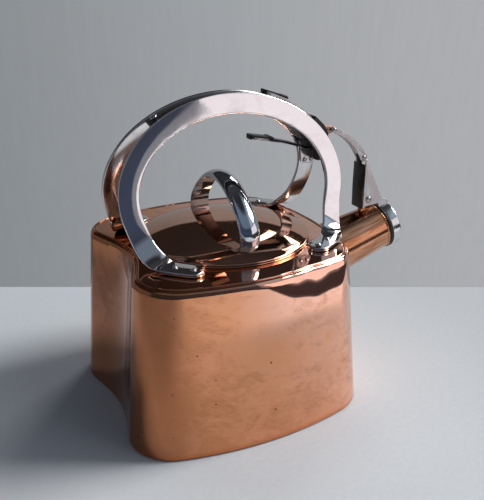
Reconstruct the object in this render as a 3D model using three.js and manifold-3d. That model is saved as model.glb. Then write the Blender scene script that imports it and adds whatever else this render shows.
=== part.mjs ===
// Copper whistling kettle, millimetres, +Z up.
// The origin is at the bottom, under the lid's axis. +X points to the spout, +Y to the back.

import * as THREE from 'three';
import { mergeVertices } from 'three/addons/utils/BufferGeometryUtils.js';
import Module from 'manifold-3d';

const wasm = await Module();
wasm.setup();

const DEG = Math.PI / 180;

// Body: two outlines, at the foot and at the shoulder, joined by straight walls
const SHOULDER_HEIGHT = 122.0;
const SHEET = 1.0;
const OUTLINE_SHIFT = -6.7;
const FOOT_OUTLINE = { length: 180, width: 182.6, corner: 35, faceBulge: 7.2, sideBulge: 5.9, cove: 8.1 };
const TOP_OUTLINE = { length: 156.5, width: 172.2, corner: 32.4, faceBulge: 6.1, sideBulge: 5.9, cove: 11.5 };
const COVE_POWER = 0.59;
const FOOT_ROLL = 2.2;
const EDGE_ROLL = 4.5;
const FOOT_FLANGE = 4.0;
const SHOULDER_RISE = 0.3;
const BASE_THICKNESS = 1.2;

// Filling hole and lid
const LID_RADIUS = 62.4;
const HOLE_RADIUS = 57.5;
const NECK_DEPTH = 6.0;
const HOLE_ROLL = 1.5;
const COLLAR_HEIGHT = 0.7;
const COLLAR_WIDTH = 2.4;
const LID_RIM = 1.3;
const LID_RISE = 10.5;
const LID_SHEET = 1.0;
const SKIRT_DEPTH = 7.0;
const SKIRT_CLEARANCE = 0.6;

// Knob: an arch along Y with a half-round section
const KNOB_SPAN = 94;
const KNOB_HEIGHT = 38.5;
const KNOB_WIDTH = 15;
const KNOB_DEPTH = 6;

// Spout, along an axis in the plane y = 0
const SPOUT_TILT = 15.5 * DEG;
const SPOUT_MOUTH = new THREE.Vector3(138.9, 0, 106.5);
const SPOUT_MOUTH_RADIUS = 18.3;
const SPOUT_ROOT_RADIUS = 23.2;
const SPOUT_LENGTH = 72;

// Handle bows: the outer edge is half an ellipse, seen from the front
const BOW_CENTRE = { x: 2.5, z: 160.7 };
const BOW_OUTER = { x: 84.2, z: 64 };
const BOW_BAND = 13.75;
const BOW_FOOT_BAND = 16;
const BOW_THICKNESS = 2.5;
const BOW_FACE_BELOW = 30.2;
const BOW_FACE_ABOVE = 6.5;
// Feet: where each leaves the ellipse, and its heel, bend and tip on the shoulder
const LEFT_FOOT = { leave: 192 * DEG, drop: 17, heel: [-56, -46.5], bend: [-49.5, -53], tip: [-41.5, -60.5] };
const RIGHT_FOOT = { leave: -11 * DEG, drop: 17, heel: [66, -42], bend: [60, -49.5], tip: [41.5, -57.5] };
const REAR_RIGHT_FOOT = { leave: -11 * DEG, drop: 17, heel: [60, -46], bend: [54, -52], tip: [37, -60] };
const FOOT_REACH = 15;

// Grip between the bows, given by angles round the ellipse
const GRIP_START = 131 * DEG;
const GRIP_END = 30.5 * DEG;
const GRIP_RECESS_START = 77 * DEG;
const GRIP_RECESS_DEEP = 9.8;
const GRIP_RECESS_SHALLOW = 4.8;
const GRIP_THIN_START = 42 * DEG;
const GRIP_THIN_RECESS = 10;
const GRIP_EDGE = 0.4;

// Lever, link and whistle arm: four pivots in the plane y = 0
const LEVER_PIVOT = { x: 75.5, z: 178 };
const LINK_PIVOT = { x: 90, z: 190.6 };
const ARM_TOP_PIVOT = { x: 118.5, z: 166.5 };
const WHISTLE_PIVOT = { x: 123.5, z: 132.8 };
const LEVER_HALF_WIDTH = 8;
const LEVER_HUB_RADIUS = 7.5;
const LEVER_BACK_EDGE = [[-4.6, 25.2], [-6.8, 21.4], [-7.2, 12]];
const LEVER_FRONT_EDGE = [[6.6, 12], [3.0, 18.4]];
const HORN_ROOT = [[2.6, 18.6], [0.4, 14.6], [3.4, 6.4]];
const STRIP_THICKNESS = 1.6;
const STRIP_HALF_WIDTH = 4.5;
const STRIP_LIFT = 1.3;
const PAD_THICKNESS = 1.0;
const PAD_LENGTH = 17;
const HORN_HALF_WIDTH = 1.8;
const LINK_HALF_WIDTH = 4;
const LINK_EYE = 2.1;
const ARM_EYE = 3;
const PLATE_HALF_SPAN = 7;
const PLATE_THICKNESS = 1.2;
const LUG_HALF_WIDTH = 2.2;

// Whistle arm: a web facing the handle, and the edge of its two cheeks, in the plane y = 0
const WEB_X = 118.7;
const WEB_FOOT = 127;
const WEB_TOP = 158;
const CHEEK_TOP = 166;
const CHEEK_EDGE = [[136.6, 132], [143.5, 129.6], [143.5, 123], [135, 123], [133.5, 128.4]];
const COVER_FOOT = 125.6;
const COVER_TOP = 161.5;
const COVER_DEPTH = 1.5;

// Whistle cap
const CAP_RADIUS = 19.8;
const CAP_DEPTH = 7.6;
const CAP_SHEET = 1.0;
const GASKET_THICKNESS = 2.6;
const WHISTLE_HOLE_RADIUS = 3;

// Fasteners
const RIVET_HEAD_RADIUS = 2.1;
const RIVET_HEAD_HEIGHT = 0.9;
const RIVET_SHANK_RADIUS = 1.2;
const LEVER_PIN_RADIUS = 2;
const SMALL_PIN_RADIUS = 1.0;
const WHISTLE_PIN_RADIUS = 1.5;

// Clearances: between fixed pieces, and round a turning pin
const GAP = 0.3;
const RUNNING_FIT = 0.08;
const OPEN_PIVOT_SLACK = 0.9;

// Sides of round things
const ROUND_LARGE = 44;
const ROUND_MEDIUM = 32;
const ROUND_SMALL = 12;
const ROUND_RIVET = 10;

function material(color, roughness, metalness) {
  return new THREE.MeshStandardMaterial({ color, roughness, metalness });
}

const polishedCopper = () => material(0xc9825f, 0.16, 1.0);
const chromed = () => material(0xc9ccd0, 0.12, 1.0);
const brushedSteel = () => material(0xa9abad, 0.35, 1.0);
const blackPlastic = () => material(0x17181a, 0.45, 0.0);
const blackRubber = () => material(0x101010, 0.8, 0.0);

// Indexed triangles with their faces turned outward
function closedGeometry(points, triangles) {
  let volume = 0;
  for (const [a, b, c] of triangles) {
    volume += points[a].dot(points[b].clone().cross(points[c]));
  }
  const ordered = volume < 0 ? triangles.map(([a, b, c]) => [a, c, b]) : triangles;
  const geometry = new THREE.BufferGeometry().setFromPoints(points);
  geometry.setIndex(ordered.flat());
  return geometry;
}

// A skin through rings of equal count; a round trip joins the last ring to the first
function loft(rings, roundTrip = false) {
  const count = rings[0].length;
  const points = rings.flat();
  const triangles = [];
  const lastRing = roundTrip ? rings.length : rings.length - 1;
  for (let ring = 0; ring < lastRing; ring += 1) {
    const below = ring * count;
    const above = ((ring + 1) % rings.length) * count;
    for (let i = 0; i < count; i += 1) {
      const j = (i + 1) % count;
      triangles.push([below + i, below + j, above + j]);
      triangles.push([below + i, above + j, above + i]);
    }
  }
  if (!roundTrip) {
    const end = (rings.length - 1) * count;
    for (let i = 1; i < count - 1; i += 1) {
      triangles.push([0, i + 1, i]);
      triangles.push([end, end + i, end + i + 1]);
    }
  }
  return closedGeometry(points, triangles);
}

function toSolid(geometry) {
  const bare = geometry.clone();
  bare.deleteAttribute('normal');
  bare.deleteAttribute('uv');
  const merged = mergeVertices(bare, 1e-4);
  return new wasm.Manifold(new wasm.Mesh({
    numProp: 3,
    vertProperties: new Float32Array(merged.attributes.position.array),
    triVerts: new Uint32Array(merged.index.array),
  }));
}

function toGeometry(solid) {
  const mesh = solid.getMesh();
  const geometry = new THREE.BufferGeometry();
  geometry.setAttribute('position', new THREE.BufferAttribute(new Float32Array(mesh.vertProperties), 3));
  geometry.setIndex(new THREE.BufferAttribute(new Uint32Array(mesh.triVerts), 1));
  return geometry;
}

function cut(geometry, ...tools) {
  let solid = toSolid(geometry);
  for (const tool of tools) {
    solid = solid.subtract(toSolid(tool));
  }
  return toGeometry(solid);
}

// A profile of [radius, height] pairs turned about the Z axis
function turned(profile, sides) {
  const points = profile.map(([radius, height]) => new THREE.Vector2(radius, height));
  const geometry = new THREE.LatheGeometry(points, sides).rotateX(Math.PI / 2);
  geometry.deleteAttribute('normal');
  geometry.deleteAttribute('uv');
  const merged = mergeVertices(geometry, 1e-4);
  const corners = [];
  for (let i = 0; i < merged.attributes.position.count; i += 1) {
    corners.push(new THREE.Vector3().fromBufferAttribute(merged.attributes.position, i));
  }
  const index = merged.index.array;
  const triangles = [];
  for (let i = 0; i < index.length; i += 3) {
    const triangle = [index[i], index[i + 1], index[i + 2]];
    if (new Set(triangle).size === 3) {
      triangles.push(triangle);
    }
  }
  return closedGeometry(corners, triangles);
}

// A solid rod along Z between two heights
function rod(radius, from, to, sides = ROUND_SMALL) {
  return turned([[0, from], [radius, from], [radius, to], [0, to]], sides);
}

// A solid rod along Y, centred on a point of the plane y = 0
function crossRod(radius, halfLength, centre, sides = ROUND_SMALL) {
  return rod(radius, -halfLength, halfLength, sides).rotateX(Math.PI / 2).translate(centre.x, 0, centre.z);
}

// An outline in the XZ plane, extruded along Y between two values
function slab(shape, fromY, toY) {
  const geometry = new THREE.ExtrudeGeometry(shape, {
    depth: toY - fromY, bevelEnabled: false, steps: 1, curveSegments: 8,
  });
  return geometry.rotateX(Math.PI / 2).translate(0, toY, 0);
}

function outlineOf(pairs) {
  return new THREE.Shape(pairs.map(([x, z]) => new THREE.Vector2(x, z)));
}

// The outline of a strip of even thickness that follows a smooth line
function stripOutline(pairs, thickness, steps) {
  const line = new THREE.SplineCurve(pairs.map(([x, z]) => new THREE.Vector2(x, z)));
  const upper = [];
  const lower = [];
  for (let i = 0; i <= steps; i += 1) {
    const point = line.getPointAt(i / steps);
    const along = line.getTangentAt(i / steps);
    const across = new THREE.Vector2(-along.y, along.x).multiplyScalar(thickness / 2);
    upper.push(point.clone().add(across));
    lower.unshift(point.clone().sub(across));
  }
  return new THREE.Shape([...upper, ...lower]);
}

function mesh(name, geometry, look) {
  const piece = new THREE.Mesh(geometry, look);
  piece.name = name;
  return piece;
}

// The outline of the body at one height

// The angle at which a corner arc meets a side that bulges by the given rise
function bulgeAngle(flat, corner, rise) {
  let low = 0;
  let high = Math.PI / 4;
  for (let i = 0; i < 40; i += 1) {
    const angle = (low + high) / 2;
    const reach = corner * Math.cos(angle) + (flat + corner * Math.sin(angle)) * Math.tan(angle) / 2;
    if (reach < corner + rise) {
      low = angle;
    } else {
      high = angle;
    }
  }
  return (low + high) / 2;
}

const SIDE_STEPS = 6;
const CORNER_STEPS = 6;
const FACE_STEPS = 6;
const COVE_STEPS = 12;

function bodyOutline(size, inset) {
  const halfLength = size.length / 2 - inset;
  const halfWidth = size.width / 2 - inset;
  const corner = size.corner - inset;
  const cornerX = halfLength - corner;
  const cornerY = halfWidth - corner - size.faceBulge;
  const sideAngle = bulgeAngle(cornerY, corner, size.sideBulge);
  const faceAngle = bulgeAngle(cornerX, corner, size.faceBulge);
  const side = { x: cornerX + corner * Math.cos(sideAngle), y: cornerY + corner * Math.sin(sideAngle) };
  const face = { x: cornerX + corner * Math.sin(faceAngle), y: cornerY + corner * Math.cos(faceAngle) };
  const sideRise = side.y * Math.tan(sideAngle) / 2;
  const faceRise = face.x * Math.tan(faceAngle) / 2;
  const points = [];
  for (let i = 0; i < SIDE_STEPS; i += 1) {
    const t = -1 + 2 * i / SIDE_STEPS;
    points.push([side.x + sideRise * (1 - t * t), side.y * t]);
  }
  for (let i = 0; i < CORNER_STEPS; i += 1) {
    const angle = sideAngle + (Math.PI / 2 - faceAngle - sideAngle) * i / CORNER_STEPS;
    points.push([cornerX + corner * Math.cos(angle), cornerY + corner * Math.sin(angle)]);
  }
  for (let i = 0; i < FACE_STEPS; i += 1) {
    const t = 1 - 2 * i / FACE_STEPS;
    points.push([face.x * t, face.y + faceRise * (1 - t * t)]);
  }
  for (let i = 0; i < CORNER_STEPS; i += 1) {
    const angle = Math.PI / 2 + faceAngle + (Math.PI / 2 - faceAngle) * i / CORNER_STEPS;
    points.push([-cornerX + corner * Math.cos(angle), cornerY + corner * Math.sin(angle)]);
  }
  for (let i = 0; i <= COVE_STEPS / 2; i += 1) {
    const t = 1 - 2 * i / COVE_STEPS;
    const depth = size.cove * Math.pow(0.5 + 0.5 * Math.cos(Math.PI * t), COVE_POWER);
    points.push([-halfLength + depth, cornerY * t]);
  }
  // The front half mirrors the back half, from the cove round to the right side
  const half = points.slice(SIDE_STEPS / 2);
  const front = half.slice(1, -1).reverse().map(([x, y]) => [x, -y]);
  return [...half, ...front].map(([x, y]) => new THREE.Vector2(x + OUTLINE_SHIFT, y));
}

function blendSizes(share) {
  const size = {};
  for (const key of Object.keys(FOOT_OUTLINE)) {
    size[key] = THREE.MathUtils.lerp(FOOT_OUTLINE[key], TOP_OUTLINE[key], share);
  }
  return size;
}

function wallRing(height, inset) {
  const outline = bodyOutline(blendSizes(height / SHOULDER_HEIGHT), inset);
  return outline.map((point) => new THREE.Vector3(point.x, point.y, height));
}

// A ring of the shoulder: from the wall's outline (share 0) to a circle (share 1)
function shoulderRing(share, radius, height, inset) {
  return bodyOutline(TOP_OUTLINE, inset).map((point) => {
    const circle = point.clone().setLength(radius);
    const place = point.clone().lerp(circle, share);
    return new THREE.Vector3(place.x, place.y, height);
  });
}

const HOLE_EDGE_RADIUS = HOLE_RADIUS + HOLE_ROLL;
const SEAT_HEIGHT = SHOULDER_HEIGHT + SHOULDER_RISE;
const SEAM_HEIGHT = SHOULDER_HEIGHT - EDGE_ROLL;

// Rings of one skin of the wall from the foot up to the seam; depth 0 is the outside
function wallSkin(depth, grow = 0) {
  const rings = [];
  const rollSteps = 2;
  for (let i = 0; i <= rollSteps; i += 1) {
    const angle = 90 * DEG * i / rollSteps;
    const roll = FOOT_ROLL - depth;
    rings.push(wallRing(FOOT_ROLL - roll * Math.cos(angle), depth + roll * (1 - Math.sin(angle)) - grow));
  }
  const wallSteps = 2;
  for (let i = 1; i <= wallSteps; i += 1) {
    rings.push(wallRing(THREE.MathUtils.lerp(FOOT_ROLL, SEAM_HEIGHT, i / wallSteps), depth - grow));
  }
  return rings;
}

// Rings of one skin of the shoulder from over the seam up to the hole's edge
function shoulderSkin(depth, grow = 0) {
  const rings = [];
  const edgeSteps = 3;
  const edge = EDGE_ROLL - depth;
  for (let i = 1; i <= edgeSteps; i += 1) {
    const angle = 90 * DEG * i / edgeSteps;
    const inset = depth + edge * (1 - Math.cos(angle)) - grow;
    rings.push(shoulderRing(0, HOLE_EDGE_RADIUS, SEAM_HEIGHT + (edge + grow) * Math.sin(angle), inset));
  }
  const top = SHOULDER_HEIGHT - depth + grow;
  rings.push(shoulderRing(1, HOLE_EDGE_RADIUS, top + SHOULDER_RISE, EDGE_ROLL - grow));
  return rings;
}

function circleRing(radius, height) {
  return shoulderRing(1, radius, height, EDGE_ROLL);
}

// The wall: sheet turned in at the foot, open at the top, with the hole for the spout
function bodyShell() {
  const flangeInset = FOOT_ROLL + FOOT_FLANGE;
  const outside = [wallRing(0, flangeInset), ...wallSkin(0)];
  const inside = [...wallSkin(SHEET).reverse(), wallRing(SHEET, flangeInset)];
  const bore = rod(SPOUT_ROOT_RADIUS - SHEET, -SPOUT_LENGTH - 20, -SPOUT_LENGTH / 2, ROUND_MEDIUM);
  placeOnSpout(bore);
  return cut(loft([...outside, ...inside], true), bore);
}

// The shoulder: sheet seamed to the wall's top edge, turned down round the filling hole
function shoulderPlate() {
  const seamRing = (depth) => shoulderRing(0, HOLE_EDGE_RADIUS, SEAM_HEIGHT + GAP, depth);
  const neck = [
    circleRing(HOLE_RADIUS + HOLE_ROLL * 0.3, SEAT_HEIGHT - HOLE_ROLL * 0.3),
    circleRing(HOLE_RADIUS, SEAT_HEIGHT - HOLE_ROLL),
    circleRing(HOLE_RADIUS, SEAT_HEIGHT - NECK_DEPTH),
    circleRing(HOLE_RADIUS + SHEET, SEAT_HEIGHT - NECK_DEPTH),
    circleRing(HOLE_RADIUS + SHEET, SEAT_HEIGHT - HOLE_ROLL - SHEET * 0.5),
  ];
  const outside = [seamRing(0), ...shoulderSkin(0)];
  const inside = [...shoulderSkin(SHEET).reverse(), seamRing(SHEET)];
  return loft([...outside, ...neck, ...inside], true);
}

// The solid of the body's outside, grown by the gap that its neighbours keep
function bodyEnvelope() {
  return loft([wallRing(0, FOOT_ROLL - GAP), ...wallSkin(0, GAP), ...shoulderSkin(0, GAP)]);
}

function basePlate() {
  const outline = bodyOutline(FOOT_OUTLINE, FOOT_ROLL + FOOT_FLANGE + GAP);
  const ringAt = (height) => outline.map((point) => new THREE.Vector3(point.x, point.y, height));
  return loft([ringAt(0), ringAt(BASE_THICKNESS)]);
}

const COLLAR_OUTER = LID_RADIUS + 0.4;
const COLLAR_BOTTOM = SEAT_HEIGHT + GAP;
const COLLAR_TOP = COLLAR_BOTTOM + COLLAR_HEIGHT;

function lidCollar() {
  const inner = COLLAR_OUTER - COLLAR_WIDTH;
  const round = COLLAR_HEIGHT / 2;
  return turned([
    [inner, COLLAR_BOTTOM], [COLLAR_OUTER - round * 0.5, COLLAR_BOTTOM], [COLLAR_OUTER, COLLAR_BOTTOM + round],
    [COLLAR_OUTER - round * 0.5, COLLAR_TOP], [inner, COLLAR_TOP], [inner, COLLAR_BOTTOM],
  ], ROUND_LARGE);
}

// Spout: local +Z runs out along the spout's axis from the mouth's centre
function placeOnSpout(geometry) {
  return geometry.rotateY(Math.PI / 2 - SPOUT_TILT).translate(SPOUT_MOUTH.x, SPOUT_MOUTH.y, SPOUT_MOUTH.z);
}

function spoutTube() {
  const rimRoll = 0.8;
  const root = -SPOUT_LENGTH;
  const tube = turned([
    [SPOUT_ROOT_RADIUS, root], [SPOUT_MOUTH_RADIUS, -2 * rimRoll], [SPOUT_MOUTH_RADIUS + rimRoll, -rimRoll],
    [SPOUT_MOUTH_RADIUS, 0], [SPOUT_MOUTH_RADIUS - SHEET, 0], [SPOUT_ROOT_RADIUS - SHEET, root],
    [SPOUT_ROOT_RADIUS, root],
  ], ROUND_MEDIUM);
  return cut(placeOnSpout(tube), bodyEnvelope());
}

// The spout's outside as a solid, grown by the gap
function spoutEnvelope() {
  const root = -SPOUT_LENGTH;
  return placeOnSpout(turned([
    [0, root], [SPOUT_ROOT_RADIUS + GAP, root], [SPOUT_MOUTH_RADIUS + GAP, 0], [0, 0],
  ], ROUND_MEDIUM));
}

function spoutLug() {
  const radius = 3.2;
  const shape = new THREE.Shape();
  const foot = WHISTLE_PIVOT.z - 16;
  shape.moveTo(WHISTLE_PIVOT.x - radius, foot);
  shape.lineTo(WHISTLE_PIVOT.x + radius + 4, foot);
  shape.lineTo(WHISTLE_PIVOT.x + radius, WHISTLE_PIVOT.z);
  shape.absarc(WHISTLE_PIVOT.x, WHISTLE_PIVOT.z, radius, 0, Math.PI, false);
  const block = slab(shape, -LUG_HALF_WIDTH, LUG_HALF_WIDTH);
  const hole = crossRod(WHISTLE_PIN_RADIUS + RUNNING_FIT, LUG_HALF_WIDTH + 1, WHISTLE_PIVOT);
  return cut(block, spoutEnvelope(), hole);
}

// Handle bows

const BOW_SLOPE = (BOW_FACE_BELOW - BOW_FACE_ABOVE) / (BOW_CENTRE.z + BOW_OUTER.z - SHOULDER_HEIGHT);
const BOW_TILT = Math.atan(BOW_SLOPE);
const BOW_NORMAL = new THREE.Vector3(0, -Math.cos(BOW_TILT), Math.sin(BOW_TILT));
const FOOT_Z = SEAT_HEIGHT + GAP + BOW_THICKNESS / 2;

// Distance of the front bow's outer face from the plane y = 0 at a height
function bowFace(height) {
  return BOW_FACE_BELOW - (height - SHOULDER_HEIGHT) * BOW_SLOPE;
}

function bowInnerFace(height) {
  return bowFace(height) - BOW_THICKNESS / Math.cos(BOW_TILT);
}

// A point of the ellipse, moved in or out of the outer edge
function bowPoint(angle, offset) {
  return {
    x: BOW_CENTRE.x + (BOW_OUTER.x + offset) * Math.cos(angle),
    z: BOW_CENTRE.z + (BOW_OUTER.z + offset) * Math.sin(angle),
  };
}

function bowCentre(angle) {
  const point = bowPoint(angle, -BOW_BAND / 2);
  const y = -bowFace(point.z) + BOW_THICKNESS / 2 / Math.cos(BOW_TILT);
  return new THREE.Vector3(point.x, y, point.z);
}

// The run from the arch down to the tip of one foot
function footPoints(foot, steps) {
  const start = bowCentre(foot.leave);
  const above = bowCentre(foot.leave + (foot.leave > 0 ? -DEG : DEG));
  const down = start.clone().sub(above).normalize();
  const heel = new THREE.Vector3(...foot.heel, FOOT_Z);
  const bend = new THREE.Vector3(...foot.bend, FOOT_Z);
  const tip = new THREE.Vector3(...foot.tip, FOOT_Z);
  const outward = bend.clone().sub(heel).normalize();
  const twist = new THREE.CubicBezierCurve3(
    start,
    start.clone().addScaledVector(down, foot.drop),
    heel.clone().addScaledVector(outward, -FOOT_REACH),
    heel,
  );
  const tongue = new THREE.QuadraticBezierCurve3(heel, bend, tip);
  return [...twist.getPoints(steps).slice(0, -1), ...tongue.getPoints(steps)];
}

// The middle line of the front bow from the tip of the left foot to the tip of the right foot
function bowLine(rightFoot) {
  const steps = 12;
  const left = footPoints(LEFT_FOOT, steps).reverse();
  const right = footPoints(rightFoot, steps);
  const arch = [];
  const archSteps = 60;
  for (let i = 1; i < archSteps; i += 1) {
    arch.push(bowCentre(THREE.MathUtils.lerp(LEFT_FOOT.leave, rightFoot.leave, i / archSteps)));
  }
  return new THREE.CatmullRomCurve3([...left, ...arch, ...right]);
}

const FRONT_LINE = bowLine(RIGHT_FOOT);
const REAR_LINE = bowLine(REAR_RIGHT_FOOT);

// Eight corners of a flat band with softened edges
function bandSection(centre, across, normal, halfBand, halfThickness) {
  const soft = Math.min(0.6, halfBand * 0.5);
  const corners = [
    [halfBand - soft, halfThickness], [halfBand, halfThickness - soft],
    [halfBand, soft - halfThickness], [halfBand - soft, -halfThickness],
    [soft - halfBand, -halfThickness], [-halfBand, soft - halfThickness],
    [-halfBand, halfThickness - soft], [soft - halfBand, halfThickness],
  ];
  return corners.map(([u, v]) => centre.clone().addScaledVector(across, u).addScaledVector(normal, v));
}

// Position and directions of the band at a distance along the bow
function bowFrame(line, distance) {
  const length = line.getLength();
  const share = THREE.MathUtils.clamp(distance / length, 0, 1);
  const along = line.getTangentAt(share);
  const steep = Math.abs(along.z);
  const fromEnd = Math.min(distance, length - distance);
  const upright = fromEnd > 60 ? 1 : THREE.MathUtils.smoothstep(steep, 0, 0.9);
  const facing = new THREE.Vector3(0, 0, 1).lerp(BOW_NORMAL, upright);
  const across = facing.clone().cross(along).normalize();
  const normal = along.clone().cross(across).normalize();
  return { centre: line.getPointAt(share), across, normal };
}

// Distances of the sections: close together at the round tips and in the twist, wider on the arch
function bowStations(length) {
  const tipRadius = BOW_FOOT_BAND / 2;
  const tipAngles = [10, 32, 52, 72, 90];
  const stations = tipAngles.map((angle) => tipRadius * (1 - Math.cos(angle * DEG)));
  const twistEnd = 66;
  const twistSteps = 11;
  for (let i = 1; i <= twistSteps; i += 1) {
    stations.push(THREE.MathUtils.lerp(tipRadius, twistEnd, i / twistSteps));
  }
  const archSteps = 12;
  for (let i = 1; i <= archSteps; i += 1) {
    stations.push(THREE.MathUtils.lerp(twistEnd, length / 2, i / archSteps));
  }
  const mirrored = stations.slice(0, -1).reverse().map((distance) => length - distance);
  return [...stations, ...mirrored];
}

function bowHalfBand(distance, length) {
  const fromEnd = Math.min(distance, length - distance);
  const wide = THREE.MathUtils.lerp(BOW_FOOT_BAND, BOW_BAND, THREE.MathUtils.smoothstep(fromEnd, 20, 50)) / 2;
  const short = Math.max(0, BOW_FOOT_BAND / 2 - fromEnd);
  return Math.sqrt(Math.max(0, wide * wide - short * short));
}

function plainBow(line) {
  const length = line.getLength();
  const rings = bowStations(length).map((distance) => {
    const { centre, across, normal } = bowFrame(line, distance);
    return bandSection(centre, across, normal, bowHalfBand(distance, length), BOW_THICKNESS / 2);
  });
  return loft(rings);
}

// Rivets stand at these distances from each end of a bow
const FOOT_RIVET_PLACES = [7, 20];

function footRivetPoints(line) {
  const distances = [];
  for (const place of FOOT_RIVET_PLACES) {
    distances.push(place, line.getLength() - place);
  }
  return distances.map((distance) => bowFrame(line, distance).centre);
}

function footRivets(label, line, side) {
  return footRivetPoints(line).map((point, i) => {
    const piece = mesh(`foot_rivet_${label}_${i + 1}`, rivet(BOW_THICKNESS - 0.1), chromed());
    piece.position.set(point.x, point.y * side, FOOT_Z + BOW_THICKNESS / 2);
    return piece;
  });
}

function drilledBow(line) {
  const drills = footRivetPoints(line).map((point) => {
    return rod(RIVET_SHANK_RADIUS + GAP, FOOT_Z - BOW_THICKNESS, FOOT_Z + BOW_THICKNESS, ROUND_RIVET)
      .translate(point.x, point.y, 0);
  });
  return cut(plainBow(line), ...drills);
}

function mirrorY(geometry) {
  const position = geometry.attributes.position;
  const points = [];
  for (let i = 0; i < position.count; i += 1) {
    points.push(new THREE.Vector3(position.getX(i), -position.getY(i), position.getZ(i)));
  }
  const triangles = [];
  for (let i = 0; i < geometry.index.count; i += 3) {
    triangles.push([geometry.index.getX(i), geometry.index.getX(i + 1), geometry.index.getX(i + 2)]);
  }
  return closedGeometry(points, triangles);
}

// A round-headed rivet whose head rests at height 0 and whose shank goes down
function rivet(shankLength, seat = 0.05) {
  return turned([
    [0, -shankLength], [RIVET_SHANK_RADIUS, -shankLength], [RIVET_SHANK_RADIUS, seat],
    [RIVET_HEAD_RADIUS, seat], [RIVET_HEAD_RADIUS * 0.75, RIVET_HEAD_HEIGHT * 0.7],
    [0, RIVET_HEAD_HEIGHT],
  ], ROUND_RIVET);
}

// Grip between the bows: four corners that follow the bows' slanted inner faces
function gripInsert() {
  const rings = [];
  const wall = 1.5 * DEG;
  // Spans of the grip: angle and recess at the start and at the end, and the number of steps
  const spans = [
    [GRIP_START, 0, GRIP_RECESS_START + wall, 0, 11],
    [GRIP_RECESS_START, GRIP_RECESS_DEEP, GRIP_THIN_START, GRIP_RECESS_SHALLOW, 7],
    [GRIP_THIN_START - 2 * wall, GRIP_THIN_RECESS, GRIP_END, GRIP_THIN_RECESS, 3],
  ];
  const sections = [];
  for (const [startAngle, startRecess, endAngle, endRecess, steps] of spans) {
    for (let i = 0; i <= steps; i += 1) {
      const share = i / steps;
      const angle = THREE.MathUtils.lerp(startAngle, endAngle, share);
      sections.push([angle, THREE.MathUtils.lerp(startRecess, endRecess, share)]);
    }
  }
  for (const [angle, recess] of sections) {
    const outer = bowPoint(angle, -recess - GRIP_EDGE);
    const inner = bowPoint(angle, -BOW_BAND + GRIP_EDGE);
    const outerY = bowInnerFace(outer.z) - GAP;
    const innerY = bowInnerFace(inner.z) - GAP;
    rings.push([
      new THREE.Vector3(outer.x, -outerY, outer.z),
      new THREE.Vector3(outer.x, outerY, outer.z),
      new THREE.Vector3(inner.x, innerY, inner.z),
      new THREE.Vector3(inner.x, -innerY, inner.z),
    ]);
  }
  return loft(rings);
}

// A pan-head screw standing on the outside of the grip near its left end
function gripScrew() {
  const angle = GRIP_START - 4 * DEG;
  const seat = bowPoint(angle, -0.1);
  const outward = Math.atan2(Math.sin(angle) / BOW_OUTER.z, Math.cos(angle) / BOW_OUTER.x);
  const screw = turned([[0, 0], [2.6, 0], [2.6, 0.7], [1.9, 1.4], [0, 1.6]], ROUND_SMALL);
  return screw.rotateY(Math.PI / 2 - outward).translate(seat.x, 0, seat.z);
}

// Brackets inside the bows that carry the lever's pin, in the slanted plane of the front bow
const BRACKET_THICKNESS = 1.5;
const BRACKET_RADIUS = 4.4;
const BRACKET_RIVETS = [{ x: 1.7, z: -12.6 }, { x: 7.6, z: -12.6 }];

function bracketGroup() {
  const group = new THREE.Group();
  const inner = bowInnerFace(LEVER_PIVOT.z) - GAP / Math.cos(BOW_TILT);
  group.position.set(LEVER_PIVOT.x, -inner, LEVER_PIVOT.z);
  group.rotation.x = -BOW_TILT;
  const shape = new THREE.Shape();
  const [left, right] = BRACKET_RIVETS;
  const ear = 3.4;
  shape.absarc(0, 0, BRACKET_RADIUS, 0, Math.PI, false);
  shape.absarc(left.x, left.z, ear, Math.PI, 1.5 * Math.PI, false);
  shape.absarc(right.x, right.z, ear, 1.5 * Math.PI, 2 * Math.PI, false);
  const pinHole = crossRod(LEVER_PIN_RADIUS + 2 * GAP, 4, { x: 0, z: 0 });
  const holes = BRACKET_RIVETS.map((place) => crossRod(RIVET_SHANK_RADIUS + GAP, 4, place, ROUND_RIVET));
  const plate = cut(slab(shape, 0, BRACKET_THICKNESS), pinHole, ...holes);
  group.add(mesh('pivot_bracket_front', plate, brushedSteel()));
  BRACKET_RIVETS.forEach((place, i) => {
    const head = rivet(BRACKET_THICKNESS - 0.1).rotateX(-Math.PI / 2);
    const piece = mesh(`bracket_rivet_front_${i + 1}`, head, brushedSteel());
    piece.position.set(place.x, BRACKET_THICKNESS, place.z);
    group.add(piece);
  });
  return group;
}

// Mirrors every mesh of a group to the back of the kettle, as new meshes in the frame of the kettle
function mirroredMeshes(group, rename) {
  group.updateMatrixWorld(true);
  const pieces = [];
  group.traverse((object) => {
    if (object.isMesh) {
      const baked = object.geometry.clone().applyMatrix4(object.matrixWorld);
      pieces.push(mesh(rename(object.name), mirrorY(mergeVertices(baked, 1e-5)), object.material.clone()));
    }
  });
  return pieces;
}

const PIN_END_GAP = 0.4;

function leverPin() {
  const lowEdge = LEVER_PIVOT.z + LEVER_PIN_RADIUS;
  return crossRod(LEVER_PIN_RADIUS, bowInnerFace(lowEdge) - PIN_END_GAP, LEVER_PIVOT);
}

// A washer along Y between the lever and a bracket
function leverSpacer(side) {
  const from = LEVER_HALF_WIDTH + GAP;
  const to = bowInnerFace(LEVER_PIVOT.z) - GAP - BRACKET_THICKNESS / Math.cos(BOW_TILT) - 1.2;
  const inner = LEVER_PIN_RADIUS + RUNNING_FIT;
  const outer = 3.4;
  const tube = turned([[inner, from], [outer, from], [outer, to], [inner, to], [inner, from]], ROUND_SMALL);
  return tube.rotateX(-side * Math.PI / 2).translate(LEVER_PIVOT.x, 0, LEVER_PIVOT.z);
}

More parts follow.
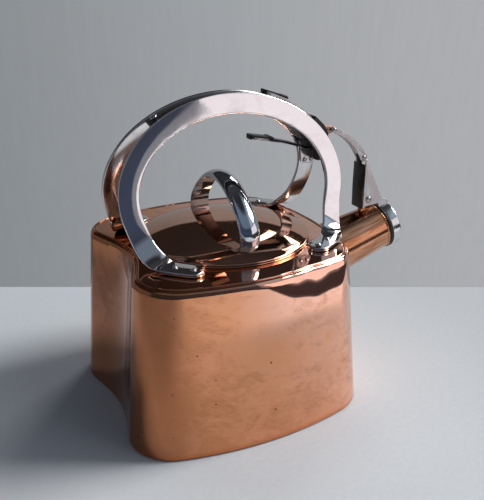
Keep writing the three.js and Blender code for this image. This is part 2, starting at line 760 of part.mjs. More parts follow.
// Lid, modelled about its own axis from the underside of its rim

const LID_SEAT = COLLAR_TOP + GAP;

function domeHeight(radius) {
  return LID_SEAT + LID_RIM + LID_RISE * (1 - (radius / LID_RADIUS) ** 2);
}

function lidDome() {
  const rimInner = LID_RADIUS - 2.5;
  const steps = 5;
  const above = [];
  const below = [];
  for (let i = 0; i <= steps; i += 1) {
    const radius = rimInner * i / steps;
    above.push([radius, domeHeight(radius)]);
    below.unshift([radius, domeHeight(radius) - LID_SHEET]);
  }
  return turned([
    ...above,
    [LID_RADIUS - 0.5, LID_SEAT + LID_RIM], [LID_RADIUS, LID_SEAT + LID_RIM / 2],
    [LID_RADIUS - 0.5, LID_SEAT], [rimInner, LID_SEAT],
    ...below.map(([radius, height]) => [radius, Math.max(height, LID_SEAT + LID_SHEET / 2)]),
  ], ROUND_LARGE);
}

function lidSkirt() {
  const outer = HOLE_RADIUS - SKIRT_CLEARANCE;
  const inner = outer - LID_SHEET;
  const top = domeHeight(outer) - LID_SHEET - GAP;
  const bottom = LID_SEAT - SKIRT_DEPTH;
  return turned([[inner, bottom], [outer, bottom], [outer, top], [inner, top], [inner, bottom]], ROUND_LARGE);
}

function knobLine() {
  const half = KNOB_SPAN / 2;
  const base = domeHeight(half) - 3;
  const top = domeHeight(half) + KNOB_HEIGHT;
  const rise = top - base;
  const places = [[1, 0], [0.955, 0.36], [0.69, 0.69], [0.34, 0.93], [0, 1]];
  const front = places.map(([across, up]) => new THREE.Vector3(0, -half * across, base + rise * up));
  const rear = front.slice(0, -1).reverse().map((point) => new THREE.Vector3(0, -point.y, point.z));
  return new THREE.CatmullRomCurve3([...front, ...rear]);
}

// Half-round outside, flat inside
function lidKnob() {
  const line = knobLine();
  const steps = 30;
  const arcSteps = 6;
  const rings = [];
  for (let i = 0; i <= steps; i += 1) {
    const centre = line.getPointAt(i / steps);
    const along = line.getTangentAt(i / steps);
    const outward = new THREE.Vector3(0, -along.z, along.y);
    const ring = [];
    for (let k = 0; k <= arcSteps; k += 1) {
      const angle = Math.PI * k / arcSteps;
      const sideways = KNOB_WIDTH / 2 * Math.cos(angle);
      const out = KNOB_DEPTH * Math.sin(angle);
      ring.push(centre.clone().addScaledVector(outward, out - KNOB_DEPTH / 2).setX(sideways));
    }
    rings.push(ring);
  }
  const reach = KNOB_SPAN / 2 + KNOB_DEPTH * 2;
  const dome = [[0, domeHeight(0) + GAP]];
  const domeSteps = 7;
  for (let i = 1; i <= domeSteps; i += 1) {
    const radius = reach * i / domeSteps;
    dome.push([radius, domeHeight(radius) + GAP]);
  }
  dome.push([reach, domeHeight(reach) - 12], [0, domeHeight(reach) - 12]);
  return cut(loft(rings), turned(dome, ROUND_LARGE));
}

// A screw under the lid that holds one leg of the knob
function knobScrew() {
  return turned([[0, 0], [3, 0], [3, -1.2], [2, -2], [0, -2]], ROUND_SMALL);
}

// Lever group, about its pivot

// A point given in the kettle's XZ plane, seen from a pivot
function from(pivot, x, z) {
  return [x - pivot.x, z - pivot.z];
}

function thumbLine() {
  const line = [];
  const startAngle = 69 * DEG;
  const endAngle = 37 * DEG;
  const steps = 6;
  for (let i = 0; i <= steps; i += 1) {
    const point = bowPoint(THREE.MathUtils.lerp(startAngle, endAngle, i / steps), STRIP_LIFT);
    line.push(from(LEVER_PIVOT, point.x, point.z));
  }
  return line;
}

const FINGER_LINE = [[22, 191.6], [31, 189.8], [42, 187.4], [54.5, 184], [69.5, 178.2]];

function fingerLine() {
  return FINGER_LINE.map(([x, z]) => from(LEVER_PIVOT, x, z));
}

// Rounds the free end of a strip or pad in plan, the end being at the given x
function roundFreeEnd(geometry, endX, halfWidth) {
  const plan = new THREE.Shape();
  const centreX = endX + halfWidth;
  plan.absarc(centreX, 0, halfWidth, Math.PI / 2, 1.5 * Math.PI, false);
  plan.lineTo(centreX + 100, -halfWidth);
  plan.lineTo(centreX + 100, halfWidth);
  const column = new THREE.ExtrudeGeometry(plan, { depth: 120, bevelEnabled: false, steps: 1, curveSegments: 8 });
  column.translate(0, 0, -60);
  return toGeometry(toSolid(geometry).intersect(toSolid(column)));
}

// The plate from the block to the link's pin, wide where it enters the block
function hornOutline(grow) {
  const [pinX, pinZ] = from(LEVER_PIVOT, LINK_PIVOT.x, LINK_PIVOT.z);
  const eye = LINK_EYE + grow;
  const shape = new THREE.Shape();
  shape.absarc(pinX, pinZ, eye, -100 * DEG, 50 * DEG, false);
  const [high, middle, low] = HORN_ROOT;
  shape.lineTo(high[0] - grow, high[1] + grow);
  shape.lineTo(middle[0] - grow, middle[1]);
  shape.lineTo(low[0] - grow, low[1] - grow);
  return shape;
}

function leverBody() {
  const shape = outlineOf(LEVER_BACK_EDGE);
  shape.absarc(0, 0, LEVER_HUB_RADIUS, 150 * DEG, 360 * DEG + 15 * DEG, false);
  for (const [x, z] of LEVER_FRONT_EDGE) {
    shape.lineTo(x, z);
  }
  const block = slab(shape, -LEVER_HALF_WIDTH, LEVER_HALF_WIDTH);
  const slotHalf = STRIP_HALF_WIDTH + GAP;
  const slotThickness = STRIP_THICKNESS + 2 * GAP;
  const thumbSlot = slab(stripOutline(thumbLine(), slotThickness, 16), -slotHalf, slotHalf);
  const fingerSlot = slab(stripOutline(fingerLine(), slotThickness, 16), -slotHalf, slotHalf);
  const hornHalf = HORN_HALF_WIDTH + GAP;
  const hornSlot = slab(hornOutline(GAP), -hornHalf, hornHalf);
  const bore = crossRod(LEVER_PIN_RADIUS + RUNNING_FIT, LEVER_HALF_WIDTH + 1, { x: 0, z: 0 });
  return cut(block, thumbSlot, fingerSlot, hornSlot, bore);
}

// A strip that stops short of the bottom of its slot
function leverStrip(line) {
  const shape = stripOutline(line, STRIP_THICKNESS, 14);
  const [endX, endZ] = line[line.length - 1];
  const strip = slab(shape, -STRIP_HALF_WIDTH, STRIP_HALF_WIDTH);
  const stop = crossRod(1.6, STRIP_HALF_WIDTH + 1, { x: endX, z: endZ });
  return roundFreeEnd(cut(strip, stop), line[0][0] - 0.5, STRIP_HALF_WIDTH);
}

// A pad over the free end of a strip, with a nose in front of it and a low bump at its end
function stripPad(line, length) {
  const curve = new THREE.SplineCurve(line.map(([x, z]) => new THREE.Vector2(x, z)));
  const total = curve.getLength();
  const lowAt = STRIP_THICKNESS / 2 + GAP;
  const steps = 8;
  const upper = [];
  const lower = [];
  for (let i = 0; i <= steps; i += 1) {
    const share = length * i / steps / total;
    const point = curve.getPointAt(share);
    const along = curve.getTangentAt(share);
    const across = new THREE.Vector2(-along.y, along.x);
    const bump = i === steps - 1 ? 0.8 : 0;
    upper.push(point.clone().addScaledVector(across, lowAt + PAD_THICKNESS + bump));
    lower.unshift(point.clone().addScaledVector(across, lowAt));
  }
  const start = curve.getPointAt(0);
  const along = curve.getTangentAt(0);
  const across = new THREE.Vector2(-along.y, along.x);
  const nose = (back, up) => start.clone().addScaledVector(along, -back).addScaledVector(across, up);
  const outline = [
    ...upper, ...lower,
    nose(GAP, lowAt), nose(GAP, -lowAt), nose(1.6, -lowAt), nose(2.2, 0), nose(1.6, lowAt + PAD_THICKNESS),
  ];
  const halfWidth = STRIP_HALF_WIDTH + 0.2;
  return roundFreeEnd(slab(new THREE.Shape(outline), -halfWidth, halfWidth), line[0][0] - 2.4, halfWidth);
}

function leverHorn() {
  const [pinX, pinZ] = from(LEVER_PIVOT, LINK_PIVOT.x, LINK_PIVOT.z);
  const plate = slab(hornOutline(0), -HORN_HALF_WIDTH, HORN_HALF_WIDTH);
  const hole = crossRod(SMALL_PIN_RADIUS + RUNNING_FIT, HORN_HALF_WIDTH + 1, { x: pinX, z: pinZ });
  return cut(plate, hole);
}

// A pin along Y with a flat head at each end
function headedPin(radius, gripHalf, headRadius, headThickness) {
  const end = gripHalf + headThickness;
  return turned([
    [0, -end], [headRadius * 0.8, -end], [headRadius, -gripHalf - headThickness * 0.4], [headRadius, -gripHalf],
    [radius, -gripHalf], [radius, gripHalf], [headRadius, gripHalf], [headRadius, gripHalf + headThickness * 0.4],
    [headRadius * 0.8, end], [0, end],
  ], ROUND_SMALL).rotateX(Math.PI / 2);
}

// Link group, about the pin at the end of the lever's horn

function linkStrap() {
  const [endX, endZ] = from(LINK_PIVOT, ARM_TOP_PIVOT.x, ARM_TOP_PIVOT.z);
  const lowBow = 5.3;
  const highBow = 8.3;
  const direction = new THREE.Vector2(endX, endZ).normalize();
  const up = new THREE.Vector2(-direction.y, direction.x);
  const shape = new THREE.Shape();
  const startAngle = Math.atan2(up.y, up.x);
  shape.absarc(0, 0, LINK_EYE, startAngle, startAngle + Math.PI, false);
  const middle = new THREE.Vector2(endX / 2, endZ / 2);
  const lowMiddle = middle.clone().addScaledVector(up, lowBow);
  const highMiddle = middle.clone().addScaledVector(up, highBow);
  const lowEnd = new THREE.Vector2(endX, endZ).addScaledVector(up, -ARM_EYE);
  shape.quadraticCurveTo(lowMiddle.x, lowMiddle.y, lowEnd.x, lowEnd.y);
  shape.absarc(endX, endZ, ARM_EYE, startAngle + Math.PI, startAngle + 2 * Math.PI, false);
  const start = up.clone().multiplyScalar(LINK_EYE);
  shape.quadraticCurveTo(highMiddle.x, highMiddle.y, start.x, start.y);
  const strap = slab(shape, -LINK_HALF_WIDTH, LINK_HALF_WIDTH);
  const slotHalf = HORN_HALF_WIDTH + 2 * GAP;
  const slots = [[0, 0, 4.5], [endX, endZ, 6]].map(([x, z, reach]) => crossRod(reach, slotHalf, { x, z }));
  const pinHoles = [[0, 0], [endX, endZ]].map(([x, z]) => {
    return crossRod(SMALL_PIN_RADIUS + RUNNING_FIT, LINK_HALF_WIDTH + 1, { x, z });
  });
  return cut(strap, ...slots, ...pinHoles);
}

// Whistle group, about its pivot

// The black cover of the arm's web, with the knuckle that the link turns on
function armCover() {
  const at = (x, z) => from(WHISTLE_PIVOT, x, z);
  const [topX, topZ] = at(ARM_TOP_PIVOT.x, ARM_TOP_PIVOT.z);
  const back = WEB_X - COVER_DEPTH;
  const cover = slab(outlineOf([
    at(back, COVER_TOP), at(back - 0.2, (COVER_TOP + COVER_FOOT) / 2), at(back + 0.2, COVER_FOOT),
    at(WEB_X - GAP, COVER_FOOT), at(WEB_X - GAP, COVER_TOP),
  ]), -PLATE_HALF_SPAN, PLATE_HALF_SPAN);
  const neck = new THREE.Shape();
  neck.moveTo(...at(back, WEB_TOP));
  neck.lineTo(...at(WEB_X - GAP, WEB_TOP));
  neck.lineTo(...at(WEB_X - GAP, COVER_TOP + 0.5));
  neck.lineTo(topX + ARM_EYE, topZ);
  neck.absarc(topX, topZ, ARM_EYE, 0, Math.PI, false);
  const knuckle = slab(neck, -HORN_HALF_WIDTH, HORN_HALF_WIDTH);
  const hole = crossRod(SMALL_PIN_RADIUS + OPEN_PIVOT_SLACK, HORN_HALF_WIDTH + 1, { x: topX, z: topZ });
  return toGeometry(toSolid(cover).add(toSolid(knuckle)).subtract(toSolid(hole)));
}

// The whistle cap's outside as a solid in the whistle's frame, grown by the gap
function capEnvelope() {
  const solid = turned([
    [0, GASKET_THICKNESS], [CAP_RADIUS + GAP, GASKET_THICKNESS - 4],
    [CAP_RADIUS + GAP, GASKET_THICKNESS + CAP_DEPTH + 4], [0, GASKET_THICKNESS + CAP_DEPTH + 4],
  ], ROUND_MEDIUM);
  return placeOnSpout(solid).translate(-WHISTLE_PIVOT.x, 0, -WHISTLE_PIVOT.z);
}

// A bent channel: a web facing the handle and two tapering cheeks that reach over the cap
function armChannel() {
  const at = (x, z) => from(WHISTLE_PIVOT, x, z);
  const shape = outlineOf([
    at(WEB_X, CHEEK_TOP), at(WEB_X + 1, CHEEK_TOP), ...CHEEK_EDGE.map(([x, z]) => at(x, z)), at(WEB_X, WEB_FOOT),
  ]);
  const block = slab(shape, -PLATE_HALF_SPAN, PLATE_HALF_SPAN);
  const insideHalf = PLATE_HALF_SPAN - PLATE_THICKNESS;
  const front = WEB_X + PLATE_THICKNESS;
  const low = CHEEK_EDGE[2][1] - 3;
  const high = CHEEK_TOP + 4;
  const far = CHEEK_EDGE[1][0] + 6;
  const inside = slab(outlineOf([
    at(front, WEB_TOP), at(front, low), at(far, low), at(far, high), at(WEB_X - 1, high), at(WEB_X - 1, WEB_TOP),
  ]), -insideHalf, insideHalf);
  const hole = crossRod(WHISTLE_PIN_RADIUS + RUNNING_FIT, PLATE_HALF_SPAN + 1, { x: 0, z: 0 });
  const notchHalf = LUG_HALF_WIDTH + 1.2;
  const notchTop = WHISTLE_PIVOT.z + 5.2;
  const notch = slab(outlineOf([
    at(WEB_X - 8, low), at(WEB_X + 3.3, low), at(WEB_X + 3.3, notchTop), at(WEB_X - 8, notchTop),
  ]), -notchHalf, notchHalf);
  return cut(block, inside, capEnvelope(), hole, notch);
}

// Cap, disc and gasket, along the spout's axis from the mouth's centre
function whistleCap() {
  const back = GASKET_THICKNESS + GAP;
  const front = back + CAP_DEPTH;
  const soft = 1.4;
  return turned([
    [CAP_RADIUS, back], [CAP_RADIUS, front - soft], [CAP_RADIUS - soft * 0.3, front - soft * 0.3],
    [CAP_RADIUS - soft, front], [WHISTLE_HOLE_RADIUS, front], [WHISTLE_HOLE_RADIUS, front - CAP_SHEET],
    [CAP_RADIUS - soft, front - CAP_SHEET], [CAP_RADIUS - CAP_SHEET, front - soft - CAP_SHEET],
    [CAP_RADIUS - CAP_SHEET, back], [CAP_RADIUS, back],
  ], ROUND_MEDIUM);
}

function whistleDisc() {
  const outer = CAP_RADIUS - CAP_SHEET - GAP;
  const front = GASKET_THICKNESS + CAP_DEPTH - 3.2;
  return turned([
    [WHISTLE_HOLE_RADIUS, front - 1], [outer, front - 1], [outer, front], [WHISTLE_HOLE_RADIUS, front],
    [WHISTLE_HOLE_RADIUS, front - 1],
  ], ROUND_MEDIUM);
}

function capGasket() {
  const outer = CAP_RADIUS - 0.2;
  const inner = SPOUT_MOUTH_RADIUS - 3.2;
  return turned([
    [inner, GAP], [outer, GAP], [outer, GASKET_THICKNESS], [inner, GASKET_THICKNESS], [inner, GAP],
  ], ROUND_MEDIUM);
}

// A coil round the whistle's pin with one leg on the lug and one against the arm
function returnSpring() {
  const coilRadius = 2.9;
  const wire = 0.3;
  const turns = 2;
  const stepsPerTurn = 10;
  const startY = -LUG_HALF_WIDTH - GAP - wire;
  const pitch = 1.0;
  const points = [new THREE.Vector3(3, startY, -5.6), new THREE.Vector3(coilRadius, startY, -2.5)];
  for (let i = 0; i <= turns * stepsPerTurn + 4; i += 1) {
    const angle = 2 * Math.PI * i / stepsPerTurn;
    const y = startY - pitch * i / stepsPerTurn;
    points.push(new THREE.Vector3(coilRadius * Math.cos(angle), y, coilRadius * Math.sin(angle)));
  }
  const last = points[points.length - 1];
  points.push(new THREE.Vector3(last.x - 0.3, last.y, last.z + 3));
  points.push(new THREE.Vector3(last.x - 0.3, last.y, last.z + 12));
  const section = new THREE.Shape();
  const corners = 5;
  for (let i = 0; i < corners; i += 1) {
    const angle = 2 * Math.PI * i / corners;
    const place = [wire * Math.cos(angle), wire * Math.sin(angle)];
    if (i === 0) {
      section.moveTo(...place);
    } else {
      section.lineTo(...place);
    }
  }
  section.closePath();
  const path = new THREE.CatmullRomCurve3(points, false, 'centripetal');
  return new THREE.ExtrudeGeometry(section, { steps: 44, bevelEnabled: false, extrudePath: path });
}

// Assembly

function bodyGroup() {
  const group = new THREE.Group();
  group.add(mesh('body_shell', bodyShell(), polishedCopper()));
  group.add(mesh('shoulder_plate', shoulderPlate(), polishedCopper()));
  group.add(mesh('base_plate', basePlate(), polishedCopper()));
  group.add(mesh('lid_collar', lidCollar(), polishedCopper()));
  group.add(mesh('spout_tube', spoutTube(), polishedCopper()));
  group.add(mesh('spout_lug', spoutLug(), polishedCopper()));
  return group;
}

function handleGroup() {
  const group = new THREE.Group();
  group.add(mesh('handle_bow_front', drilledBow(FRONT_LINE), chromed()));
  group.add(mesh('handle_bow_rear', mirrorY(drilledBow(REAR_LINE)), chromed()));
  group.add(...footRivets('front', FRONT_LINE, 1), ...footRivets('rear', REAR_LINE, -1));
  group.add(mesh('grip_insert', gripInsert(), blackPlastic()));
  group.add(mesh('grip_screw', gripScrew(), chromed()));
  const brackets = bracketGroup();
  group.add(...mirroredMeshes(brackets, (name) => name.replace('front', 'rear')));
  group.add(brackets);
  group.add(mesh('lever_pin', leverPin(), brushedSteel()));
  group.add(mesh('lever_spacer_front', leverSpacer(-1), brushedSteel()));
  group.add(mesh('lever_spacer_rear', leverSpacer(1), brushedSteel()));
  return group;
}

function lidGroup() {
  const group = new THREE.Group();
  group.add(mesh('lid_dome', lidDome(), polishedCopper()));
  group.add(mesh('lid_skirt', lidSkirt(), polishedCopper()));
  group.add(mesh('lid_knob', lidKnob(), chromed()));
  const place = KNOB_SPAN / 2 - 1;
  for (const [side, label] of [[-1, 'front'], [1, 'rear']]) {
    const screw = mesh(`knob_screw_${label}`, knobScrew(), brushedSteel());
    screw.position.set(0, place * side, domeHeight(place + 3) - LID_SHEET - GAP - 0.2);
    group.add(screw);
  }
  return group;
}

function leverGroup() {
  const group = new THREE.Group();
  group.position.set(LEVER_PIVOT.x, 0, LEVER_PIVOT.z);
  group.add(mesh('lever_body', leverBody(), blackPlastic()));
  group.add(mesh('thumb_strip', leverStrip(thumbLine()), brushedSteel()));
  group.add(mesh('thumb_pad', stripPad(thumbLine(), PAD_LENGTH), blackPlastic()));
  group.add(mesh('finger_strip', leverStrip(fingerLine()), brushedSteel()));
  group.add(mesh('finger_pad', stripPad(fingerLine(), PAD_LENGTH), blackPlastic()));
  group.add(mesh('lever_horn', leverHorn(), brushedSteel()));
  const pin = mesh('link_pin', headedPin(SMALL_PIN_RADIUS, LINK_HALF_WIDTH + 0.1, 1.7, 0.7), brushedSteel());
  pin.position.set(LINK_PIVOT.x - LEVER_PIVOT.x, 0, LINK_PIVOT.z - LEVER_PIVOT.z);
  group.add(pin);
  return group;
}

function linkGroup() {
  const group = new THREE.Group();
  group.position.set(LINK_PIVOT.x, 0, LINK_PIVOT.z);
  group.add(mesh('link_strap', linkStrap(), brushedSteel()));
  const pin = mesh('arm_pin', headedPin(SMALL_PIN_RADIUS, LINK_HALF_WIDTH + 0.1, 1.7, 0.7), brushedSteel());
  pin.position.set(ARM_TOP_PIVOT.x - LINK_PIVOT.x, 0, ARM_TOP_PIVOT.z - LINK_PIVOT.z);
  group.add(pin);
  return group;
}

function whistleGroup() {
  const group = new THREE.Group();
  group.position.set(WHISTLE_PIVOT.x, 0, WHISTLE_PIVOT.z);
  group.add(mesh('arm_channel', armChannel(), brushedSteel()));
  group.add(mesh('arm_cover', armCover(), blackPlastic()));
  const cap = new THREE.Group();
  cap.position.set(SPOUT_MOUTH.x - WHISTLE_PIVOT.x, 0, SPOUT_MOUTH.z - WHISTLE_PIVOT.z);
  cap.rotation.y = Math.PI / 2 - SPOUT_TILT;
  cap.add(mesh('whistle_cap', whistleCap(), chromed()));
  cap.add(mesh('whistle_disc', whistleDisc(), brushedSteel()));
  cap.add(mesh('cap_gasket', capGasket(), blackRubber()));
  group.add(cap);
  return group;
}

// The pin and spring stay with the lug while the whistle turns on them
function pivotGroup() {
  const group = new THREE.Group();
  group.position.set(WHISTLE_PIVOT.x, 0, WHISTLE_PIVOT.z);
  const pin = headedPin(WHISTLE_PIN_RADIUS, PLATE_HALF_SPAN + 0.1, 2.6, 0.9);
  group.add(mesh('whistle_pivot_pin', pin, brushedSteel()));
  group.add(mesh('return_spring', returnSpring(), brushedSteel()));
  return group;
}

const kettle = new THREE.Group();
kettle.add(bodyGroup(), handleGroup(), lidGroup(), leverGroup(), linkGroup(), whistleGroup(), pivotGroup());

export default kettle;
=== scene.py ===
"""Copper whistling kettle on a pale floor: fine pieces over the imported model, finishes, lamps and camera."""

import math

import bmesh
import bpy
from mathutils import Matrix, Vector


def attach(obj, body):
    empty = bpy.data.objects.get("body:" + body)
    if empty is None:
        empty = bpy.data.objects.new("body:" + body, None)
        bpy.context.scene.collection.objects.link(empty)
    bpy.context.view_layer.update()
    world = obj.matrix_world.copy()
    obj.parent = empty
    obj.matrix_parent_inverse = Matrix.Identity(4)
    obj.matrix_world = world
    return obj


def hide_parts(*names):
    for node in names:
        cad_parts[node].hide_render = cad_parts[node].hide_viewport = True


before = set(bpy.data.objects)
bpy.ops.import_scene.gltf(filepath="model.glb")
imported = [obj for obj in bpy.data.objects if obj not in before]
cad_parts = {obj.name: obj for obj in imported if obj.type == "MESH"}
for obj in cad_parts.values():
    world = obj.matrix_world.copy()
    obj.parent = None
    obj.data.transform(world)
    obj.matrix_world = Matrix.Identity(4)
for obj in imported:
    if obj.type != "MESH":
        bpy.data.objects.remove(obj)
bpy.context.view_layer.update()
bpy.ops.object.select_all(action="DESELECT")

MM = 0.001
UP = Vector((0, 0, 1))
QUARTER = math.pi / 2


def mix(low, high, share):
    return low + (high - low) * share


def smooth(value, low, high):
    share = min(1, max(0, (value - low) / (high - low)))
    return share * share * (3 - 2 * share)


def arc(centre, reach, start, end, steps):
    """Points round a centre from one angle to another, both ends taken in."""
    points = []
    for i in range(steps + 1):
        angle = mix(start, end, i / steps)
        points.append((centre[0] + reach[0] * math.cos(angle), centre[1] + reach[1] * math.sin(angle)))
    return points


# Sizes of the kettle, in millimetres; all but the finer roll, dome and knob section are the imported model's
SHOULDER_HEIGHT = 122.0
SHEET = 1.0
OUTLINE_SHIFT = -6.7
FOOT_OUTLINE = dict(length=180, width=182.6, corner=35, face_bulge=7.2, side_bulge=5.9, cove=8.1)
TOP_OUTLINE = dict(length=156.5, width=172.2, corner=32.4, face_bulge=6.1, side_bulge=5.9, cove=11.5)
COVE_POWER = 0.59
FOOT_ROLL = 2.2
EDGE_ROLL = 3.2
FOOT_FLANGE = 4.0
SHOULDER_RISE = 0.3
LID_RADIUS = 62.4
HOLE_RADIUS = 57.5
NECK_DEPTH = 6.0
HOLE_ROLL = 1.5
COLLAR_HEIGHT = 0.7
COLLAR_WIDTH = 2.4
LID_RIM = 1.3
LID_RISE = 10.3
DOME_POWER = 2.5
LID_SHEET = 1.0
KNOB_SPAN = 94
KNOB_HEIGHT = 38.5
KNOB_WIDTH = 15
KNOB_DEPTH = 6
KNOB_EDGE = 1.5
KNOB_CROWN = 4.4
SPOUT_TILT = math.radians(15.5)
SPOUT_MOUTH = Vector((138.9, 0, 106.5))
SPOUT_MOUTH_RADIUS = 18.3
SPOUT_ROOT_RADIUS = 23.2
SPOUT_LENGTH = 72
BOW_CENTRE = (2.5, 160.7)
BOW_OUTER = (84.2, 64)
BOW_BAND = 13.75
BOW_FOOT_BAND = 16
BOW_THICKNESS = 2.5
BOW_FACE_BELOW = 30.2
BOW_FACE_ABOVE = 6.5
LEFT_FOOT = dict(leave=math.radians(192), drop=17, heel=(-56, -46.5), bend=(-49.5, -53), tip=(-41.5, -60.5))
RIGHT_FOOT = dict(leave=math.radians(-11), drop=17, heel=(66, -42), bend=(60, -49.5), tip=(41.5, -57.5))
REAR_RIGHT_FOOT = dict(leave=math.radians(-11), drop=17, heel=(60, -46), bend=(54, -52), tip=(37, -60))
FOOT_REACH = 15
CAP_RADIUS = 19.8
CAP_DEPTH = 7.6
GASKET_THICKNESS = 2.6
WHISTLE_HOLE_RADIUS = 3
GAP = 0.3
SEAT_HEIGHT = SHOULDER_HEIGHT + SHOULDER_RISE
LID_SEAT = SEAT_HEIGHT + 2 * GAP + COLLAR_HEIGHT


# Making and finishing a piece; lengths in millimetres, angles in degrees

LEAST_RADIUS = 0.0005
WELD_DISTANCE = 0.002
SOFT_EDGE_ANGLE = 30
SOFT_EDGE_STEPS = 3


def round_off(piece, angle):
    """Shades a piece smooth, but leaves edges over the given angle sharp."""
    bpy.ops.object.select_all(action="DESELECT")
    piece.select_set(True)
    bpy.context.view_layer.objects.active = piece
    bpy.ops.object.shade_smooth_by_angle(angle=math.radians(angle))
    piece.select_set(False)


def skin(name, rings, joined=False):
    """A closed skin through rings of equal count; the ends are filled unless they join."""
    count = len(rings[0])
    shape = bmesh.new()
    corners = [[shape.verts.new(point * MM) for point in ring] for ring in rings]
    for index in range(len(rings) if joined else len(rings) - 1):
        low = corners[index]
        high = corners[(index + 1) % len(rings)]
        for i in range(count):
            j = (i + 1) % count
            shape.faces.new((low[i], low[j], high[j], high[i]))
    if not joined:
        shape.faces.new(corners[0])
        shape.faces.new(corners[-1])
    bmesh.ops.recalc_face_normals(shape, faces=shape.faces)
    data = bpy.data.meshes.new(name)
    shape.to_mesh(data)
    shape.free()
    piece = bpy.data.objects.new(name, data)
    bpy.context.scene.collection.objects.link(piece)
    return piece


def turned(name, profile, sides, place=Matrix()):
    """A round piece drawn out ring by ring from its profile of radius and height, then put in its place."""
    bpy.ops.object.select_all(action="DESELECT")
    radius, height = profile[0]
    radius = max(radius, LEAST_RADIUS)
    bpy.ops.mesh.primitive_circle_add(vertices=sides, radius=radius * MM, location=(0, 0, height * MM))
    piece = bpy.context.object
    piece.name = name
    piece.data.name = name
    bpy.ops.object.transform_apply()
    bpy.ops.object.mode_set(mode="EDIT")
    for next_radius, next_height in profile[1:]:
        next_radius = max(next_radius, LEAST_RADIUS)
        lift = (0, 0, (next_height - height) * MM)
        bpy.ops.mesh.extrude_region_move(TRANSFORM_OT_translate={"value": lift})
        widen = next_radius / radius
        bpy.ops.transform.resize(value=(widen, widen, 1), center_override=(0, 0, 0))
        radius, height = next_radius, next_height
    bpy.ops.mesh.select_all(action="SELECT")
    bpy.ops.mesh.remove_doubles(threshold=WELD_DISTANCE * MM)
    bpy.ops.mesh.normals_make_consistent(inside=False)
    bpy.ops.object.mode_set(mode="OBJECT")
    piece.data.transform(place)
    return piece


def cut_away(piece, tool):
    """Takes the tool's solid out of the piece, and the tool out of the scene."""
    bpy.ops.object.select_all(action="DESELECT")
    piece.select_set(True)
    bpy.context.view_layer.objects.active = piece
    cut = piece.modifiers.new("cut", "BOOLEAN")
    cut.operation = "DIFFERENCE"
    cut.object = tool
    cut.solver = "EXACT"
    bpy.ops.object.modifier_apply(modifier=cut.name)
    piece.select_set(False)
    bpy.data.objects.remove(tool)


def dress(piece, finish, body, slot, *nodes):
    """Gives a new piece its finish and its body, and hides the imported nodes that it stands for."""
    piece.data.materials.clear()
    piece.data.materials.append(finish)
    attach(piece, body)
    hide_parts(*nodes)


def polish_node(name, finish, edge, angle=35):
    """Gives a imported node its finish, and softens its edges by the given width."""
    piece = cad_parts[name]
    piece.data.materials.clear()
    piece.data.materials.append(finish)
    weld = piece.modifiers.new("weld", "WELD")
    weld.merge_threshold = WELD_DISTANCE * MM
    if edge:
        soft = piece.modifiers.new("soft", "BEVEL")
        soft.width = edge * MM
        soft.segments = SOFT_EDGE_STEPS
        soft.limit_method = "ANGLE"
        soft.angle_limit = math.radians(SOFT_EDGE_ANGLE)
        soft.use_clamp_overlap = True
    round_off(piece, angle)


# Finishes

class Number:
    """A number that nodes give; arithmetic on it adds Math nodes."""

    def __init__(self, nodes, socket):
        self.nodes = nodes
        self.socket = socket

    def maths(self, operation, *values):
        node = self.nodes.node("ShaderNodeMath", {"operation": operation}, *values)
        return Number(self.nodes, node.outputs[0])

    def __add__(self, other):
        return self.maths("ADD", self, other)

    __radd__ = __add__

    def __mul__(self, other):
        return self.maths("MULTIPLY", self, other)

    __rmul__ = __mul__

    def __sub__(self, other):
        return self.maths("SUBTRACT", self, other)

    def __rsub__(self, other):
        return self.maths("SUBTRACT", other, self)

    def most(self, other):
        return self.maths("MAXIMUM", self, other)

    def ramp(self, low, high):
        """0 at low, 1 at high, smooth between."""
        settings = {"interpolation_type": "SMOOTHSTEP"}
        node = self.nodes.node("ShaderNodeMapRange", settings, Value=self, From_Min=low, From_Max=high)
        return Number(self.nodes, node.outputs["Result"])


class Nodes:
    """A node tree in the making, with the coordinates that its patterns lie in."""

    def __init__(self, tree, coordinates):
        self.tree = tree
        self.place = self.node("ShaderNodeTexCoord").outputs[coordinates]

    def node(self, kind, settings=None, *values, **sockets):
        """Adds a node, makes its settings first, then fills its sockets by order or by name."""
        node = self.tree.nodes.new(kind)
        for key, value in (settings or {}).items():
            setattr(node, key, value)
        for index, value in enumerate(values):
            self.fill(node.inputs[index], value)
        for key, value in sockets.items():
            self.fill(node.inputs[key.replace("_", " ")], value)
        return node

    def fill(self, socket, value):
        if isinstance(value, Number):
            value = value.socket
        if isinstance(value, bpy.types.NodeSocket):
            self.tree.links.new(value, socket)
        else:
            socket.default_value = value

    def axis(self, letter):
        """One of the coordinates; on a finish it is in metres."""
        return Number(self, self.node("ShaderNodeSeparateXYZ", None, Vector=self.place).outputs[letter])

    def blend(self, share, first, second):
        """A colour between two colours."""
        node = self.node("ShaderNodeMix", {"data_type": "RGBA", "clamp_factor": True})
        self.fill(node.inputs[0], share)
        for index, colour in ((6, first), (7, second)):
            self.fill(node.inputs[index], (*colour, 1) if isinstance(colour, tuple) else colour)
        return node.outputs[2]


